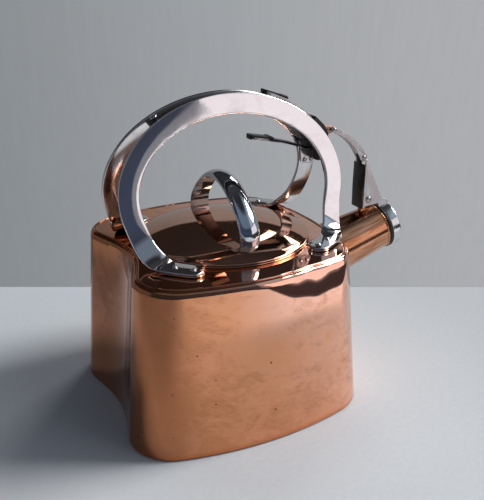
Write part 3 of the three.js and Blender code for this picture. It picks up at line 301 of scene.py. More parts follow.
class Finish(Nodes):
    """One material in the making."""

    def __init__(self, name):
        self.material = bpy.data.materials.new(name)
        self.material.use_nodes = True
        super().__init__(self.material.node_tree, "Object")
        self.shader = self.tree.nodes["Principled BSDF"]

    def set(self, **sockets):
        for key, value in sockets.items():
            self.fill(self.shader.inputs[key.replace("_", " ")], value)

    def stretched(self, scale, turn=(0, 0, 0)):
        """Object coordinates turned, and stretched by a scale over 1 or squeezed by one under 1."""
        settings = {"vector_type": "TEXTURE"}
        node = self.node("ShaderNodeMapping", settings, Vector=self.place, Rotation=turn, Scale=scale)
        return node.outputs[0]

    def noise(self, size, detail=2.0, rough=0.5, at=None, warp=0.0):
        """Noise of about 0 to 1 whose lumps are about the given size in millimetres."""
        node = self.node("ShaderNodeTexNoise", None, Vector=at or self.place, Scale=1 / (size * MM),
                         Detail=detail, Roughness=rough, Distortion=warp)
        return Number(self, node.outputs["Fac"])

    def specks(self, size):
        """Distance to the nearest of scattered points that lie about the given millimetres apart."""
        node = self.node("ShaderNodeTexVoronoi", None, Vector=self.place, Scale=1 / (size * MM))
        return Number(self, node.outputs["Distance"])

    def bump(self, height, depth, under=None):
        """A relief of the given depth in millimetres, over another one if there is one."""
        node = self.node("ShaderNodeBump", None, Strength=1.0, Distance=depth * MM, Height=height)
        if under is not None:
            self.fill(node.inputs["Normal"], under)
        return node.outputs["Normal"]


COPPER_PINK = (0.96, 0.56, 0.435)
COPPER_ORANGE = (0.82, 0.36, 0.19)
COPPER_BROWN = (0.42, 0.16, 0.075)
# Partly oxide tint, partly painted shade, towards the foot and the left.
HEATED_AND_SHADED_COPPER = (0.60, 0.235, 0.095)
# Darker copper for the cove.
COVE_DARK_COPPER = (0.20, 0.075, 0.04)
# Painted reflection for the foot's roll: the shaded floor mirrored there.
FOOT_PAINTED_REFLECTION = (0.62, 0.19, 0.065)
BODY_PIT = (0.05, 0.024, 0.018)
LID_PIT = (0.05, 0.03, 0.025)


def copper(name, bright, deep, brown, patina, rough, waves):
    """Polished copper: warm mottling, thin tarnish, faint rubbing marks, small pits and a soft waviness."""
    finish = Finish(name)
    mottle = finish.noise(34, detail=4, rough=0.6, warp=0.6).ramp(0.38, 0.72)
    cloud = finish.noise(11, detail=3, rough=0.55, warp=0.4).ramp(0.40, 0.75)
    tarnish = finish.noise(60, detail=2, rough=0.5).ramp(0.45, 0.8)
    colour = finish.blend(mottle * patina, bright, deep)
    colour = finish.blend(cloud * tarnish * patina * 0.7, colour, brown)
    pits = 1 - finish.specks(9).ramp(0.02, 0.07)
    dots = pits * finish.noise(23, detail=1).ramp(0.55, 0.62)
    colour = finish.blend(dots * 0.75, colour, LID_PIT)
    streaks = finish.noise(2.5, detail=3, rough=0.6, at=finish.stretched((8, 1, 1)))
    marks = streaks.ramp(0.5, 0.8)
    gloss = rough + 0.07 * mottle * patina + 0.05 * marks + 0.1 * dots
    sway = finish.bump(finish.noise(46, detail=1), waves * 6)
    fine = finish.bump(streaks, 0.004, sway)
    finish.set(Base_Color=colour, Metallic=1.0, Roughness=gloss, Normal=finish.bump(dots, -0.05, fine))
    return finish.material


def plated(name, tint, shade, rough, waves):
    """Bright plated metal with faint smears and wear."""
    finish = Finish(name)
    smear = finish.noise(18, detail=3, rough=0.6, warp=0.8).ramp(0.42, 0.75)
    colour = finish.blend(smear * 0.6, tint, shade)
    scratch = finish.noise(0.7, detail=3, rough=0.6, at=finish.stretched((9, 1, 1), (0.3, 0.9, 0.2)))
    gloss = rough + 0.06 * smear + 0.03 * scratch.ramp(0.5, 0.8)
    sway = finish.bump(finish.noise(24, detail=1), waves * 3)
    finish.set(Base_Color=colour, Metallic=1.0, Roughness=gloss, Normal=finish.bump(scratch, 0.003, sway))
    return finish.material


def satin(name, tint, shade, rough=0.28, size=1.2, metal=1.0):
    """Stamped metal with a fine grain in one direction."""
    finish = Finish(name)
    grain = finish.noise(size, detail=3, rough=0.6, at=finish.stretched((0.1, 1, 1)))
    cloud = finish.noise(9, detail=2).ramp(0.4, 0.7)
    colour = finish.blend(cloud * 0.7, tint, shade)
    gloss = rough + 0.12 * grain * cloud
    finish.set(Base_Color=colour, Metallic=metal, Roughness=gloss, Normal=finish.bump(grain, 0.006))
    return finish.material


def moulded(name, tint, worn, rough=0.3, grain_depth=0.012):
    """Moulded black plastic, a little dulled and rubbed by hands."""
    finish = Finish(name)
    rub = finish.noise(14, detail=3, rough=0.6).ramp(0.45, 0.75)
    grain = finish.noise(0.5, detail=2)
    colour = finish.blend(rub * 0.6, tint, worn)
    gloss = rough + 0.16 * rub + 0.05 * grain
    finish.set(Base_Color=colour, Roughness=gloss, Normal=finish.bump(grain, grain_depth), IOR=1.48)
    return finish.material


def sheet_copper(name, pink, orange, brown):
    """The body's polished sheet: pinker at the upper right and along the top, partly bare copper and partly
    painted light; darker and more orange towards the foot and the left, partly oxide tint and partly painted
    shade; a browner left side, partly oxide and partly painted shade; rubbed clouds, darker copper in the
    cove, a painted reflection of the shaded floor along the foot, small pits and a mirror shoulder."""
    finish = Finish(name)
    across, height = finish.axis("X"), finish.axis("Z")
    cloud = finish.noise(40, detail=5, rough=0.62, warp=1.1)
    wisps = finish.noise(12, detail=5, rough=0.65, at=finish.stretched((1.6, 1, 1), (0, 0.35, 0)), warp=1.2)
    rubbing = finish.noise(1.3, detail=3, rough=0.6, at=finish.stretched((5, 1, 1), (0, 0.2, 0)))
    # Pinker and brighter at the upper right and along the top: partly bare copper, partly painted light that
    # stands in for the brighter reflection there.
    clean_and_lit = (across * 3.6 + height * 1.8 + cloud * 1.0 + wisps * 0.35 - 0.60).ramp(0.0, 0.66)
    clean_and_lit = clean_and_lit.most(height.ramp(0.070, 0.104) * across.ramp(-0.045, 0.010) * (0.65 + 0.5 * cloud))
    # Darker and more orange towards the foot and the left: partly oxide tint, partly painted shade.
    heat_and_shade = (cloud * 0.9 + wisps * 0.7 + rubbing * 0.15 - height * 1.0 - across * 0.9).ramp(0.70, 1.0)
    colour = finish.blend(clean_and_lit, orange, pink)
    colour = finish.blend(heat_and_shade * 0.6, colour, HEATED_AND_SHADED_COPPER)
    grime = (rubbing * 0.7 + wisps * 0.6).ramp(0.66, 0.84) * heat_and_shade.most(0.3)
    colour = finish.blend(grime * 0.28, colour, brown)
    leftward = -1 * across
    # A browner left side: partly oxide, partly painted shade.
    colour = finish.blend(leftward.ramp(0.048, 0.078) * 0.8, colour, brown)
    # Darker copper in the cove, at mid height on the rear half.
    cove_dark = leftward.ramp(0.055, 0.080) * height.ramp(0.040, 0.075) * (1 - height.ramp(0.100, 0.116))
    cove_dark = cove_dark * finish.axis("Y").ramp(-0.02, 0.02)
    colour = finish.blend(cove_dark * (0.35 + 0.9 * wisps), colour, COVE_DARK_COPPER)
    # Painted reflection: a dark orange band along the foot's roll, standing in for the shaded floor mirrored
    # there.
    foot = (1 - height.ramp(0.001, 0.0065)) * 0.8
    colour = finish.blend(foot, colour, FOOT_PAINTED_REFLECTION)
    pits = 1 - finish.specks(13).ramp(0.03, 0.085)
    dots = pits * finish.noise(26, detail=1).ramp(0.46, 0.52)
    colour = finish.blend(dots * 0.85, colour, BODY_PIT)
    shoulder = height.ramp(0.1190, 0.1212)
    gloss = 0.03 + (1 - shoulder) * (0.02 + 0.04 * heat_and_shade + 0.03 * rubbing) + 0.1 * dots
    sway = finish.bump(finish.noise(52, detail=1), 0.2)
    fine = finish.bump(rubbing, 0.004, sway)
    finish.set(Base_Color=colour, Metallic=1.0, Roughness=gloss, Normal=finish.bump(dots, -0.06, fine))
    return finish.material


def drawn_copper(name, bright, brown):
    """The spout's sheet: drawn lengthwise, with warm and dark streaks along it."""
    finish = Finish(name)
    along = finish.stretched((14, 1, 1), (0, -SPOUT_TILT, 0))
    bands = finish.noise(6, detail=3, rough=0.6, at=along)
    lines = finish.noise(1.8, detail=3, rough=0.6, at=along)
    colour = finish.blend((bands * 0.8 + lines * 0.5).ramp(0.52, 0.82), bright, brown)
    gloss = 0.12 + 0.08 * lines
    finish.set(Base_Color=colour, Metallic=1.0, Roughness=gloss, Normal=finish.bump(lines, 0.01))
    return finish.material


body_copper = sheet_copper("body_copper", COPPER_PINK, COPPER_ORANGE, COPPER_BROWN)
lid_copper = copper("lid_copper", (0.74, 0.42, 0.29), (0.64, 0.32, 0.19), COPPER_BROWN,
                    patina=0.4, rough=0.04, waves=0.03)
spout_copper = drawn_copper("spout_copper", (0.69, 0.36, 0.225), (0.37, 0.14, 0.055))
chrome = plated("bow_chrome", (0.76, 0.74, 0.75), (0.66, 0.63, 0.63), rough=0.035, waves=0.03)
knob_chrome = plated("knob_chrome", (0.66, 0.70, 0.76), (0.36, 0.38, 0.43), rough=0.06, waves=0.16)
cap_chrome = plated("cap_chrome", (0.68, 0.70, 0.71), (0.50, 0.52, 0.52), rough=0.12, waves=0.02)
# The rear bow's copy of the bow chrome: rougher, and its darker, browner tone is painted shade.
rear_shaded_chrome = plated("rear_bow_shaded_chrome", (0.74, 0.72, 0.72), (0.58, 0.54, 0.53), rough=0.12, waves=0.02)
steel = satin("stamped_steel", (0.66, 0.63, 0.63), (0.54, 0.50, 0.49))
strap_steel = satin("strap_steel", (0.72, 0.68, 0.68), (0.60, 0.55, 0.54), rough=0.42)
# Painted light: the thumb and finger strips are steel made only half metal, so their pale colour shows lamp
# light where steel would mirror dark surroundings.
strip_steel_painted_light = satin("strip_steel_painted_light", (0.72, 0.66, 0.66), (0.60, 0.54, 0.54), rough=0.38, metal=0.45)
gloss_black = moulded("gloss_black", (0.008, 0.007, 0.007), (0.02, 0.018, 0.018), rough=0.1)
rivet_steel = satin("rivet_steel", (0.55, 0.54, 0.54), (0.35, 0.34, 0.34), rough=0.25, size=0.6)
horn_copper = satin("horn_copper", (0.74, 0.47, 0.38), (0.62, 0.36, 0.27), rough=0.2)
black = moulded("black_plastic", (0.012, 0.012, 0.013), (0.03, 0.03, 0.032))
rubber = moulded("black_rubber", (0.010, 0.010, 0.010), (0.022, 0.021, 0.02), rough=0.5, grain_depth=0.02)


# Body

SIDE_STEPS = 24
CORNER_STEPS = 22
FACE_STEPS = 28
COVE_STEPS = 56
HALVINGS = 40


def bulge_angle(flat, corner, rise):
    """The angle at which a corner arc meets a side that bulges by the given rise."""
    low, high = 0.0, QUARTER / 2
    for _ in range(HALVINGS):
        angle = (low + high) / 2
        reach = corner * math.cos(angle) + (flat + corner * math.sin(angle)) * math.tan(angle) / 2
        if reach < corner + rise:
            low = angle
        else:
            high = angle
    return (low + high) / 2


def body_outline(size, inset):
    """The body's outline, set in from the wall's outside: from the middle of the right side round the back,
    the cove and the front."""
    half_length = size["length"] / 2 - inset
    half_width = size["width"] / 2 - inset
    corner = size["corner"] - inset
    corner_x = half_length - corner
    corner_y = half_width - corner - size["face_bulge"]
    side_angle = bulge_angle(corner_y, corner, size["side_bulge"])
    face_angle = bulge_angle(corner_x, corner, size["face_bulge"])
    side = (corner_x + corner * math.cos(side_angle), corner_y + corner * math.sin(side_angle))
    face = (corner_x + corner * math.sin(face_angle), corner_y + corner * math.cos(face_angle))
    side_rise = side[1] * math.tan(side_angle) / 2
    face_rise = face[0] * math.tan(face_angle) / 2
    half = []
    for i in range(SIDE_STEPS // 2):
        t = 2 * i / SIDE_STEPS
        half.append((side[0] + side_rise * (1 - t * t), side[1] * t))
    reach = (corner, corner)
    half += arc((corner_x, corner_y), reach, side_angle, QUARTER - face_angle, CORNER_STEPS)[:-1]
    for i in range(FACE_STEPS):
        t = 1 - 2 * i / FACE_STEPS
        half.append((face[0] * t, face[1] + face_rise * (1 - t * t)))
    half += arc((-corner_x, corner_y), reach, QUARTER + face_angle, 2 * QUARTER, CORNER_STEPS)[:-1]
    for i in range(COVE_STEPS // 2 + 1):
        t = 1 - 2 * i / COVE_STEPS
        depth = size["cove"] * (0.5 + 0.5 * math.cos(math.pi * t)) ** COVE_POWER
        half.append((-half_length + depth, corner_y * t))
    front = [(x, -y) for x, y in reversed(half[1:-1])]
    return [Vector((x + OUTLINE_SHIFT, y, 0)) for x, y in half + front]


def wall_ring(height, inset):
    """The body's outline at a height of the wall."""
    share = height / SHOULDER_HEIGHT
    size = {key: mix(FOOT_OUTLINE[key], TOP_OUTLINE[key], share) for key in FOOT_OUTLINE}
    return [point + UP * height for point in body_outline(size, inset)]


def shoulder_ring(share, radius, height, inset):
    """A ring from the wall's outline (share 0) to a circle (share 1)."""
    ring = []
    for point in body_outline(TOP_OUTLINE, inset):
        circle = point.normalized() * radius
        ring.append(point.lerp(circle, share) + UP * height)
    return ring


# Fine forms of the body, in millimetres; each wave of the lean has a size, a pace and a shift
HOLE_EDGE_RADIUS = HOLE_RADIUS + HOLE_ROLL
FOOT_ROLL_STEPS = 5
WALL_STEPS = 9
LEAN_STEPS = 14
EDGE_STEPS = 12
SHOULDER_STEPS = 12
NECK_STEPS = 4
HALF_ROUND_STEPS = 8
BEAD_INSET = 4.1
BEAD_RADIUS = 0.65
BEAD_GROOVE = 0.3
BEAD_LIP = 0.22
BEAD_STEP = 0.12
BEAD_TOE = 0.2
FINE_HEIGHT = 92
FRONT_WALL = -40
LEAN_LEFT = (-32, 14)
LEAN_RIGHT = (50, 66)
LEAN_START = 96.4
LEAN_CURVE = 0.0063
LEAN_REACH = 0.42
LEAN_WAVES = ((1.6, 0.14, 0.6), (0.9, 0.33, 2.0))
BULGE_DEPTH = 2.8
BULGE_HEIGHTS = (45, 98)


def leaning(ring, share=0.0):
    """Moves a ring at the front wall's upper right, which bulges and then leans back in soft waves; the lean
    is gone at a share of 1 from the edge towards the lid."""
    count = len(ring)
    moved = []
    for i, point in enumerate(ring):
        if point.y > FRONT_WALL or share >= 1:
            moved.append(point)
            continue
        weight = smooth(point.x, *LEAN_LEFT) * (1 - smooth(point.x, *LEAN_RIGHT))
        along = (ring[(i + 1) % count] - ring[i - 1]).normalized()
        waves = sum(size * math.sin(point.x * pace + shift) for size, pace, shift in LEAN_WAVES)
        start = mix(SHOULDER_HEIGHT, LEAN_START + waves, weight)
        height = max(0.0, min(point.z, SHOULDER_HEIGHT - EDGE_ROLL * 0.5) - start)
        inward = LEAN_CURVE * height * height - BULGE_DEPTH * weight * smooth(point.z, *BULGE_HEIGHTS)
        moved.append(point + UP.cross(along) * inward * (1 - share))
    return moved


def skin_rings(depth, grow=0.0):
    """Rings of one skin of the body from the foot to the hole's edge. At depth 0 it is the outside with its
    bead; a skin further in, or one grown outwards, is plain."""
    roll = FOOT_ROLL - depth
    foot = arc((FOOT_ROLL - grow, FOOT_ROLL), (roll, roll), -QUARTER, -2 * QUARTER, FOOT_ROLL_STEPS)
    rings = [wall_ring(height, inset) for inset, height in foot]
    wall_top = SHOULDER_HEIGHT - EDGE_ROLL
    heights = [mix(FOOT_ROLL, FINE_HEIGHT, i / WALL_STEPS) for i in range(1, WALL_STEPS + 1)]
    heights += [mix(FINE_HEIGHT, wall_top, i / LEAN_STEPS) for i in range(1, LEAN_STEPS + 1)]
    rings += [leaning(wall_ring(height, depth - grow)) for height in heights]
    edge = EDGE_ROLL - depth
    top = SHOULDER_HEIGHT - depth + grow
    rim = arc((EDGE_ROLL - grow, wall_top), (edge, edge + grow), 2 * QUARTER, QUARTER, EDGE_STEPS)[1:]
    if not depth and not grow:
        groove = BEAD_INSET - BEAD_RADIUS - BEAD_GROOVE
        rim = [(inset, height) for inset, height in rim if inset < groove] + bead_profile(top)
    rings += [leaning(shoulder_ring(0, HOLE_EDGE_RADIUS, height, inset)) for inset, height in rim]
    inset = BEAD_INSET + BEAD_RADIUS + BEAD_TOE - grow
    for i in range(1, SHOULDER_STEPS + 1):
        share = i / SHOULDER_STEPS
        ring = shoulder_ring(share, HOLE_EDGE_RADIUS, top + SHOULDER_RISE * i / SHOULDER_STEPS, inset)
        rings.append(leaning(ring, share / LEAN_REACH))
    return rings


def bead_profile(top):
    """The fine bead along the shoulder's edge, with a groove on its outer side, as insets and heights."""
    outer = BEAD_INSET - BEAD_RADIUS
    lip = top - BEAD_LIP
    groove = [(outer - BEAD_LIP, lip), (outer - BEAD_STEP, lip - BEAD_GROOVE), (outer, top - BEAD_GROOVE)]
    return groove + arc((BEAD_INSET, top), (-BEAD_RADIUS, BEAD_RADIUS), 0, 2 * QUARTER, HALF_ROUND_STEPS)


# Openings, collar and spout, in millimetres
BORE_SIDES = 96
BORE_OVERRUN = 20
COLLAR_SIDES = 192
COLLAR_OVERHANG = 0.4
COLLAR_ROUND = 0.35
SPOUT_SIDES = 128
SPOUT_STEPS = 12
SPOUT_LIP = (0.75, 0.8)


def on_spout():
    """The turn and shift that lay a piece along the spout's axis from the mouth."""
    return Matrix.Translation(SPOUT_MOUTH * MM) @ Matrix.Rotation(QUARTER - SPOUT_TILT, 4, "Y")


def make_body():
    inset = FOOT_ROLL + FOOT_FLANGE
    outside = [wall_ring(0, inset)] + skin_rings(0)
    roll_centre = (HOLE_EDGE_RADIUS, SEAT_HEIGHT - HOLE_ROLL)
    profile = arc(roll_centre, (HOLE_ROLL, HOLE_ROLL), QUARTER, 2 * QUARTER, NECK_STEPS)[1:]
    profile.append((HOLE_RADIUS, SEAT_HEIGHT - NECK_DEPTH))
    profile.append((HOLE_RADIUS + SHEET, SEAT_HEIGHT - NECK_DEPTH))
    profile.append((HOLE_RADIUS + SHEET, SEAT_HEIGHT - HOLE_ROLL - SHEET * 0.5))
    neck = [shoulder_ring(1, radius, height, EDGE_ROLL) for radius, height in profile]
    inside = list(reversed(skin_rings(SHEET))) + [wall_ring(SHEET, inset)]
    piece = skin("kettle_body", outside + neck + inside, joined=True)
    bore_radius = SPOUT_ROOT_RADIUS - SHEET
    low = -SPOUT_LENGTH - BORE_OVERRUN
    high = -SPOUT_LENGTH / 2
    bore = [(0, low), (bore_radius, low), (bore_radius, high), (0, high)]
    cut_away(piece, turned("bore", bore, BORE_SIDES, on_spout()))
    round_off(piece, angle=35)
    dress(piece, body_copper, "kettle", "copper", "body_shell", "shoulder_plate")


def make_collar():
    outer = LID_RADIUS + COLLAR_OVERHANG
    inner = outer - COLLAR_WIDTH
    bottom = SEAT_HEIGHT + GAP
    half = COLLAR_HEIGHT / 2
    edge_centre = (outer - COLLAR_ROUND, bottom + half)
    edge = arc(edge_centre, (COLLAR_ROUND, half), -QUARTER, QUARTER, HALF_ROUND_STEPS)
    profile = [(inner, bottom)] + edge + [(inner, bottom + COLLAR_HEIGHT), (inner, bottom)]
    piece = turned("shoulder_bead", profile, COLLAR_SIDES)
    round_off(piece, angle=40)
    dress(piece, lid_copper, "kettle", "copper", "lid_collar")


def make_spout():
    root = -SPOUT_LENGTH
    lip = SPOUT_LIP[1]
    profile = []
    for i in range(SPOUT_STEPS):
        share = i / SPOUT_STEPS
        profile.append((mix(SPOUT_ROOT_RADIUS, SPOUT_MOUTH_RADIUS, share), mix(root, -2 * lip, share)))
    profile += arc((SPOUT_MOUTH_RADIUS, -lip), SPOUT_LIP, -QUARTER, QUARTER, HALF_ROUND_STEPS)
    profile += [(SPOUT_MOUTH_RADIUS - SHEET, 0), (SPOUT_ROOT_RADIUS - SHEET, root), (SPOUT_ROOT_RADIUS, root)]
    piece = turned("spout", profile, SPOUT_SIDES, on_spout())
    rings = [wall_ring(0, FOOT_ROLL - GAP)] + skin_rings(0, GAP * 0.3)
    cut_away(piece, skin("body_solid", rings))
    round_off(piece, angle=35)
    dress(piece, spout_copper, "kettle", "copper", "spout_tube")


# Bows of the handle

class Line:
    """A line through many points, read by the distance along it."""

    def __init__(self, points):
        self.points = points
        self.places = [0.0]
        for first, second in zip(points, points[1:]):
            self.places.append(self.places[-1] + (second - first).length)
        self.length = self.places[-1]

    def at(self, distance):
        distance = min(self.length, max(0.0, distance))
        low, high = 0, len(self.places) - 1
        while high - low > 1:
            middle = (low + high) // 2
            if self.places[middle] > distance:
                high = middle
            else:
                low = middle
        share = (distance - self.places[low]) / (self.places[high] - self.places[low])
        return self.points[low].lerp(self.points[high], share)

    def along(self, distance):
        """The direction at a distance, taken over a millimetre either side."""
        return (self.at(distance + 1.0) - self.at(distance - 1.0)).normalized()


# The bows' points, and where their bands twist and narrow, by the distance from an end
ARCH_STEPS = 240
LEG_STEPS = 40
BAND_STEPS = 150
TIP_ANGLES = (4, 12, 22, 32, 42, 52, 62, 72, 82, 90)
TWIST_REACH = 60
FLAT_SLOPE = 0.9
NARROWING = (20, 50)
BAND_ROUNDNESS = 0.75
ROUNDNESS_STEPS = 4
BOW_SLOPE = (BOW_FACE_BELOW - BOW_FACE_ABOVE) / (BOW_CENTRE[1] + BOW_OUTER[1] - SHOULDER_HEIGHT)
BOW_TILT = math.atan(BOW_SLOPE)
BOW_NORMAL = Vector((0, -math.cos(BOW_TILT), math.sin(BOW_TILT)))
FOOT_Z = SEAT_HEIGHT + GAP + BOW_THICKNESS / 2


def bow_centre(angle):
    """A point of the front bow's middle line on its arch."""
    x = BOW_CENTRE[0] + (BOW_OUTER[0] - BOW_BAND / 2) * math.cos(angle)
    z = BOW_CENTRE[1] + (BOW_OUTER[1] - BOW_BAND / 2) * math.sin(angle)
    face = BOW_FACE_BELOW - (z - SHOULDER_HEIGHT) * BOW_SLOPE
    return Vector((x, -face + BOW_THICKNESS / 2 / math.cos(BOW_TILT), z))


def leg_points(foot):
    """The run from the arch down to the tip of one foot: a leg, then the bend of the flat foot."""
    leave = foot["leave"]
    start = bow_centre(leave)
    above = bow_centre(leave + math.radians(-1 if leave > 0 else 1))
    down = (start - above).normalized()
    heel, bend, tip = (Vector((*foot[key], FOOT_Z)) for key in ("heel", "bend", "tip"))
    outward = (bend - heel).normalized()
    handles = [start, start + down * foot["drop"], heel - outward * FOOT_REACH, heel]
    points = []
    for i in range(LEG_STEPS):
        t = i / LEG_STEPS
        weights = ((1 - t) ** 3, 3 * t * (1 - t) ** 2, 3 * t * t * (1 - t), t ** 3)
        points.append(sum((handle * weight for handle, weight in zip(handles, weights)), Vector()))
    for i in range(LEG_STEPS + 1):
        t = i / LEG_STEPS
        points.append(heel * (1 - t) ** 2 + bend * 2 * t * (1 - t) + tip * t * t)
    return points


def bow_line(right_foot):
    left = leg_points(LEFT_FOOT)[::-1]
    leaves = (LEFT_FOOT["leave"], right_foot["leave"])
    arch = [bow_centre(mix(*leaves, i / ARCH_STEPS)) for i in range(1, ARCH_STEPS)]
    return Line(left + arch + leg_points(right_foot))


def bow_frame(line, distance):
    """Centre, direction across the band and normal at a distance along a bow."""
    along = line.along(distance)
    from_end = min(distance, line.length - distance)
    upright = 1 if from_end > TWIST_REACH else smooth(abs(along.z), 0, FLAT_SLOPE)
    facing = UP.lerp(BOW_NORMAL, upright)
    across = facing.cross(along).normalized()
    return line.at(distance), across, along.cross(across).normalized()


def band_section(half_band, half_thickness):
    """Corners of a flat band with rounded edges, across and out."""
    soft = min(BAND_ROUNDNESS, half_band * 0.5, half_thickness * 0.95)
    section = []
    for quarter, (side, out) in enumerate(((1, 1), (-1, 1), (-1, -1), (1, -1))):
        centre = (side * (half_band - soft), out * (half_thickness - soft))
        section += arc(centre, (soft, soft), QUARTER * quarter, QUARTER * (quarter + 1), ROUNDNESS_STEPS)
    return section


def bow_rings(line):
    """Rings of a bow's band from tip to tip, round at both tips and wider at the feet."""
    tip_radius = BOW_FOOT_BAND / 2
    stations = [tip_radius * (1 - math.cos(math.radians(angle))) for angle in TIP_ANGLES]
    stations += [mix(tip_radius, line.length / 2, i / BAND_STEPS) for i in range(1, BAND_STEPS + 1)]
    stations += [line.length - place for place in reversed(stations[:-1])]
    rings = []
    for place in stations:
        centre, across, normal = bow_frame(line, place)
        from_end = min(place, line.length - place)
        wide = mix(BOW_FOOT_BAND, BOW_BAND, smooth(from_end, *NARROWING)) / 2
        short = max(0.0, tip_radius - from_end)
        half_band = math.sqrt(max(0.0, wide * wide - short * short))
        section = band_section(half_band, BOW_THICKNESS / 2)
        rings.append([centre + across * u + normal * v for u, v in section])
    return rings


def make_bows():
    front = skin("bow_front", bow_rings(bow_line(RIGHT_FOOT)))
    mirrored = bow_rings(bow_line(REAR_RIGHT_FOOT))
    rear = skin("bow_rear", [[Vector((p.x, -p.y, p.z)) for p in ring] for ring in mirrored])
    for piece, node in ((front, "handle_bow_front"), (rear, "handle_bow_rear")):
        round_off(piece, angle=40)
        dress(piece, chrome if piece is front else rear_shaded_chrome, "kettle", "chrome", node)


# Lid and knob; the arch's places are shares of its half span and of its height

LID_SIDES = 192
LID_STEPS = 26
LID_EDGE_WIDTH = 2.5
KNOB_ARCH = [(1, 0), (0.955, 0.36), (0.69, 0.69), (0.34, 0.93), (0, 1)]
KNOB_SINK = 3
KNOB_CLEARANCE = 0.1
KNOB_EDGE_BLEND = 4
ARCH_CURVE_STEPS = 14
KNOB_STEPS = 120
CROWN_STEPS = 24
UNDERSIDE_STEPS = 8


def dome_height(radius):
    """The height of the lid's top at a distance from its middle."""
    return LID_SEAT + LID_RIM + LID_RISE * (1 - (radius / LID_RADIUS) ** DOME_POWER)


def make_lid():
    rim_inner = LID_RADIUS - LID_EDGE_WIDTH
    radii = [rim_inner * i / LID_STEPS for i in range(LID_STEPS + 1)]
    above = [(radius, dome_height(radius)) for radius in radii]
    lowest = LID_SEAT + LID_SHEET / 2
    below = [(radius, max(height - LID_SHEET, lowest)) for radius, height in reversed(above)]
    half = LID_RIM / 2
    rim = arc((LID_RADIUS - half, LID_SEAT + half), (half, half), QUARTER, -QUARTER, HALF_ROUND_STEPS)
    profile = above + rim + [(rim_inner, LID_SEAT)] + below
    piece = turned("lid_top", profile, LID_SIDES)
    round_off(piece, angle=50)
    dress(piece, lid_copper, "lid", "copper", "lid_dome")


def smooth_line(corners):
    """Many points on a smooth curve through a few; at each it runs as the line between its neighbours."""
    ends = [2 * corners[0] - corners[1]] + corners + [2 * corners[-1] - corners[-2]]
    points = []
    for a, b, c, d in zip(ends, ends[1:], ends[2:], ends[3:]):
        for i in range(ARCH_CURVE_STEPS):
            t = i / ARCH_CURVE_STEPS
            points.append(0.5 * (2 * b + (c - a) * t + (2 * a - 5 * b + 4 * c - d) * t * t
                                 + (3 * b - a - 3 * c + d) * t ** 3))
    return points + [corners[-1]]


def make_knob():
    """The arch on the lid: a lens-shaped strap with thin edges; no point of it lies under the lid's top."""
    half = KNOB_SPAN / 2
    base = dome_height(half) - KNOB_SINK
    rise = KNOB_HEIGHT + KNOB_SINK
    front = [Vector((0, -half * across, base + rise * up)) for across, up in KNOB_ARCH]
    rear = [Vector((0, -point.y, point.z)) for point in reversed(front[:-1])]
    line = Line(smooth_line(front + rear))
    rings = []
    for i in range(KNOB_STEPS + 1):
        distance = line.length * i / KNOB_STEPS
        centre = line.at(distance)
        along = line.along(distance)
        outward = Vector((0, -along.z, along.y))
        ring = []
        for k in range(CROWN_STEPS + 1):
            share = math.cos(math.pi * k / CROWN_STEPS)
            crown = (KNOB_CROWN - KNOB_EDGE) * (1 - share * share)
            edge = KNOB_EDGE * min(1.0, KNOB_EDGE_BLEND * (1 - abs(share))) ** 0.5
            sideways = Vector((KNOB_WIDTH / 2 * share, 0, 0))
            ring.append(centre + outward * (edge + crown - KNOB_DEPTH / 2) + sideways)
        for k in range(1, UNDERSIDE_STEPS):
            sideways = Vector((KNOB_WIDTH / 2 * (2 * k / UNDERSIDE_STEPS - 1), 0, 0))
            ring.append(centre - outward * KNOB_DEPTH / 2 + sideways)
        for point in ring:
            point.z = max(point.z, dome_height(math.hypot(point.x, point.y)) + KNOB_CLEARANCE)
        rings.append(ring)
    piece = skin("lid_arch_knob", rings)
    round_off(piece, angle=45)
    dress(piece, knob_chrome, "lid", "chrome", "lid_knob")


# Whistle cap

CAP_SOFTNESS = 1.6
CAP_CHAMFER = 0.3
GASKET_INSET = 0.2
GASKET_WIDTH_INSIDE = 3.2
GASKET_CHAMFER = 0.5


def make_cap():
    back = GASKET_THICKNESS + GAP
    front = back + CAP_DEPTH
    flat = CAP_RADIUS - CAP_SOFTNESS
    inside = CAP_RADIUS - SHEET
    hole = WHISTLE_HOLE_RADIUS
    soft = (CAP_SOFTNESS, CAP_SOFTNESS)
    profile = [(CAP_RADIUS - CAP_CHAMFER, back), (CAP_RADIUS, back + CAP_CHAMFER)]
    profile += arc((flat, front - CAP_SOFTNESS), soft, 0, QUARTER, HALF_ROUND_STEPS)
    profile += [(hole + CAP_CHAMFER, front), (hole, front - CAP_CHAMFER), (hole, front - SHEET),
                (flat, front - SHEET), (inside, front - CAP_SOFTNESS - SHEET), (inside, back), profile[0]]
    piece = turned("whistle_shell", profile, SPOUT_SIDES, on_spout())
    round_off(piece, angle=35)
    dress(piece, cap_chrome, "whistle", "chrome", "whistle_cap")
    outer = CAP_RADIUS - GASKET_INSET
    inner = SPOUT_MOUTH_RADIUS - GASKET_WIDTH_INSIDE
    low, high = GAP, GASKET_THICKNESS
    cut = GASKET_CHAMFER
    ring = [(inner, low), (outer - cut, low), (outer, low + cut), (outer, high - cut), (outer - cut, high),
            (inner, high), (inner, low)]
    piece = turned("mouth_gasket", ring, SPOUT_SIDES, on_spout())
    round_off(piece, angle=50)
    dress(piece, rubber, "whistle", "black_rubber", "cap_gasket")


make_body()
make_collar()
make_spout()
make_bows()
make_lid()
make_knob()
make_cap()

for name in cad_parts:
    if "rivet" in name or "screw" in name:
        polish_node(name, chrome if "foot" in name else rivet_steel, edge=0, angle=60)
for name in ("pivot_bracket_front", "pivot_bracket_rear", "lever_spacer_front", "lever_spacer_rear",
             "lever_pin"):
    polish_node(name, steel, edge=0.2)
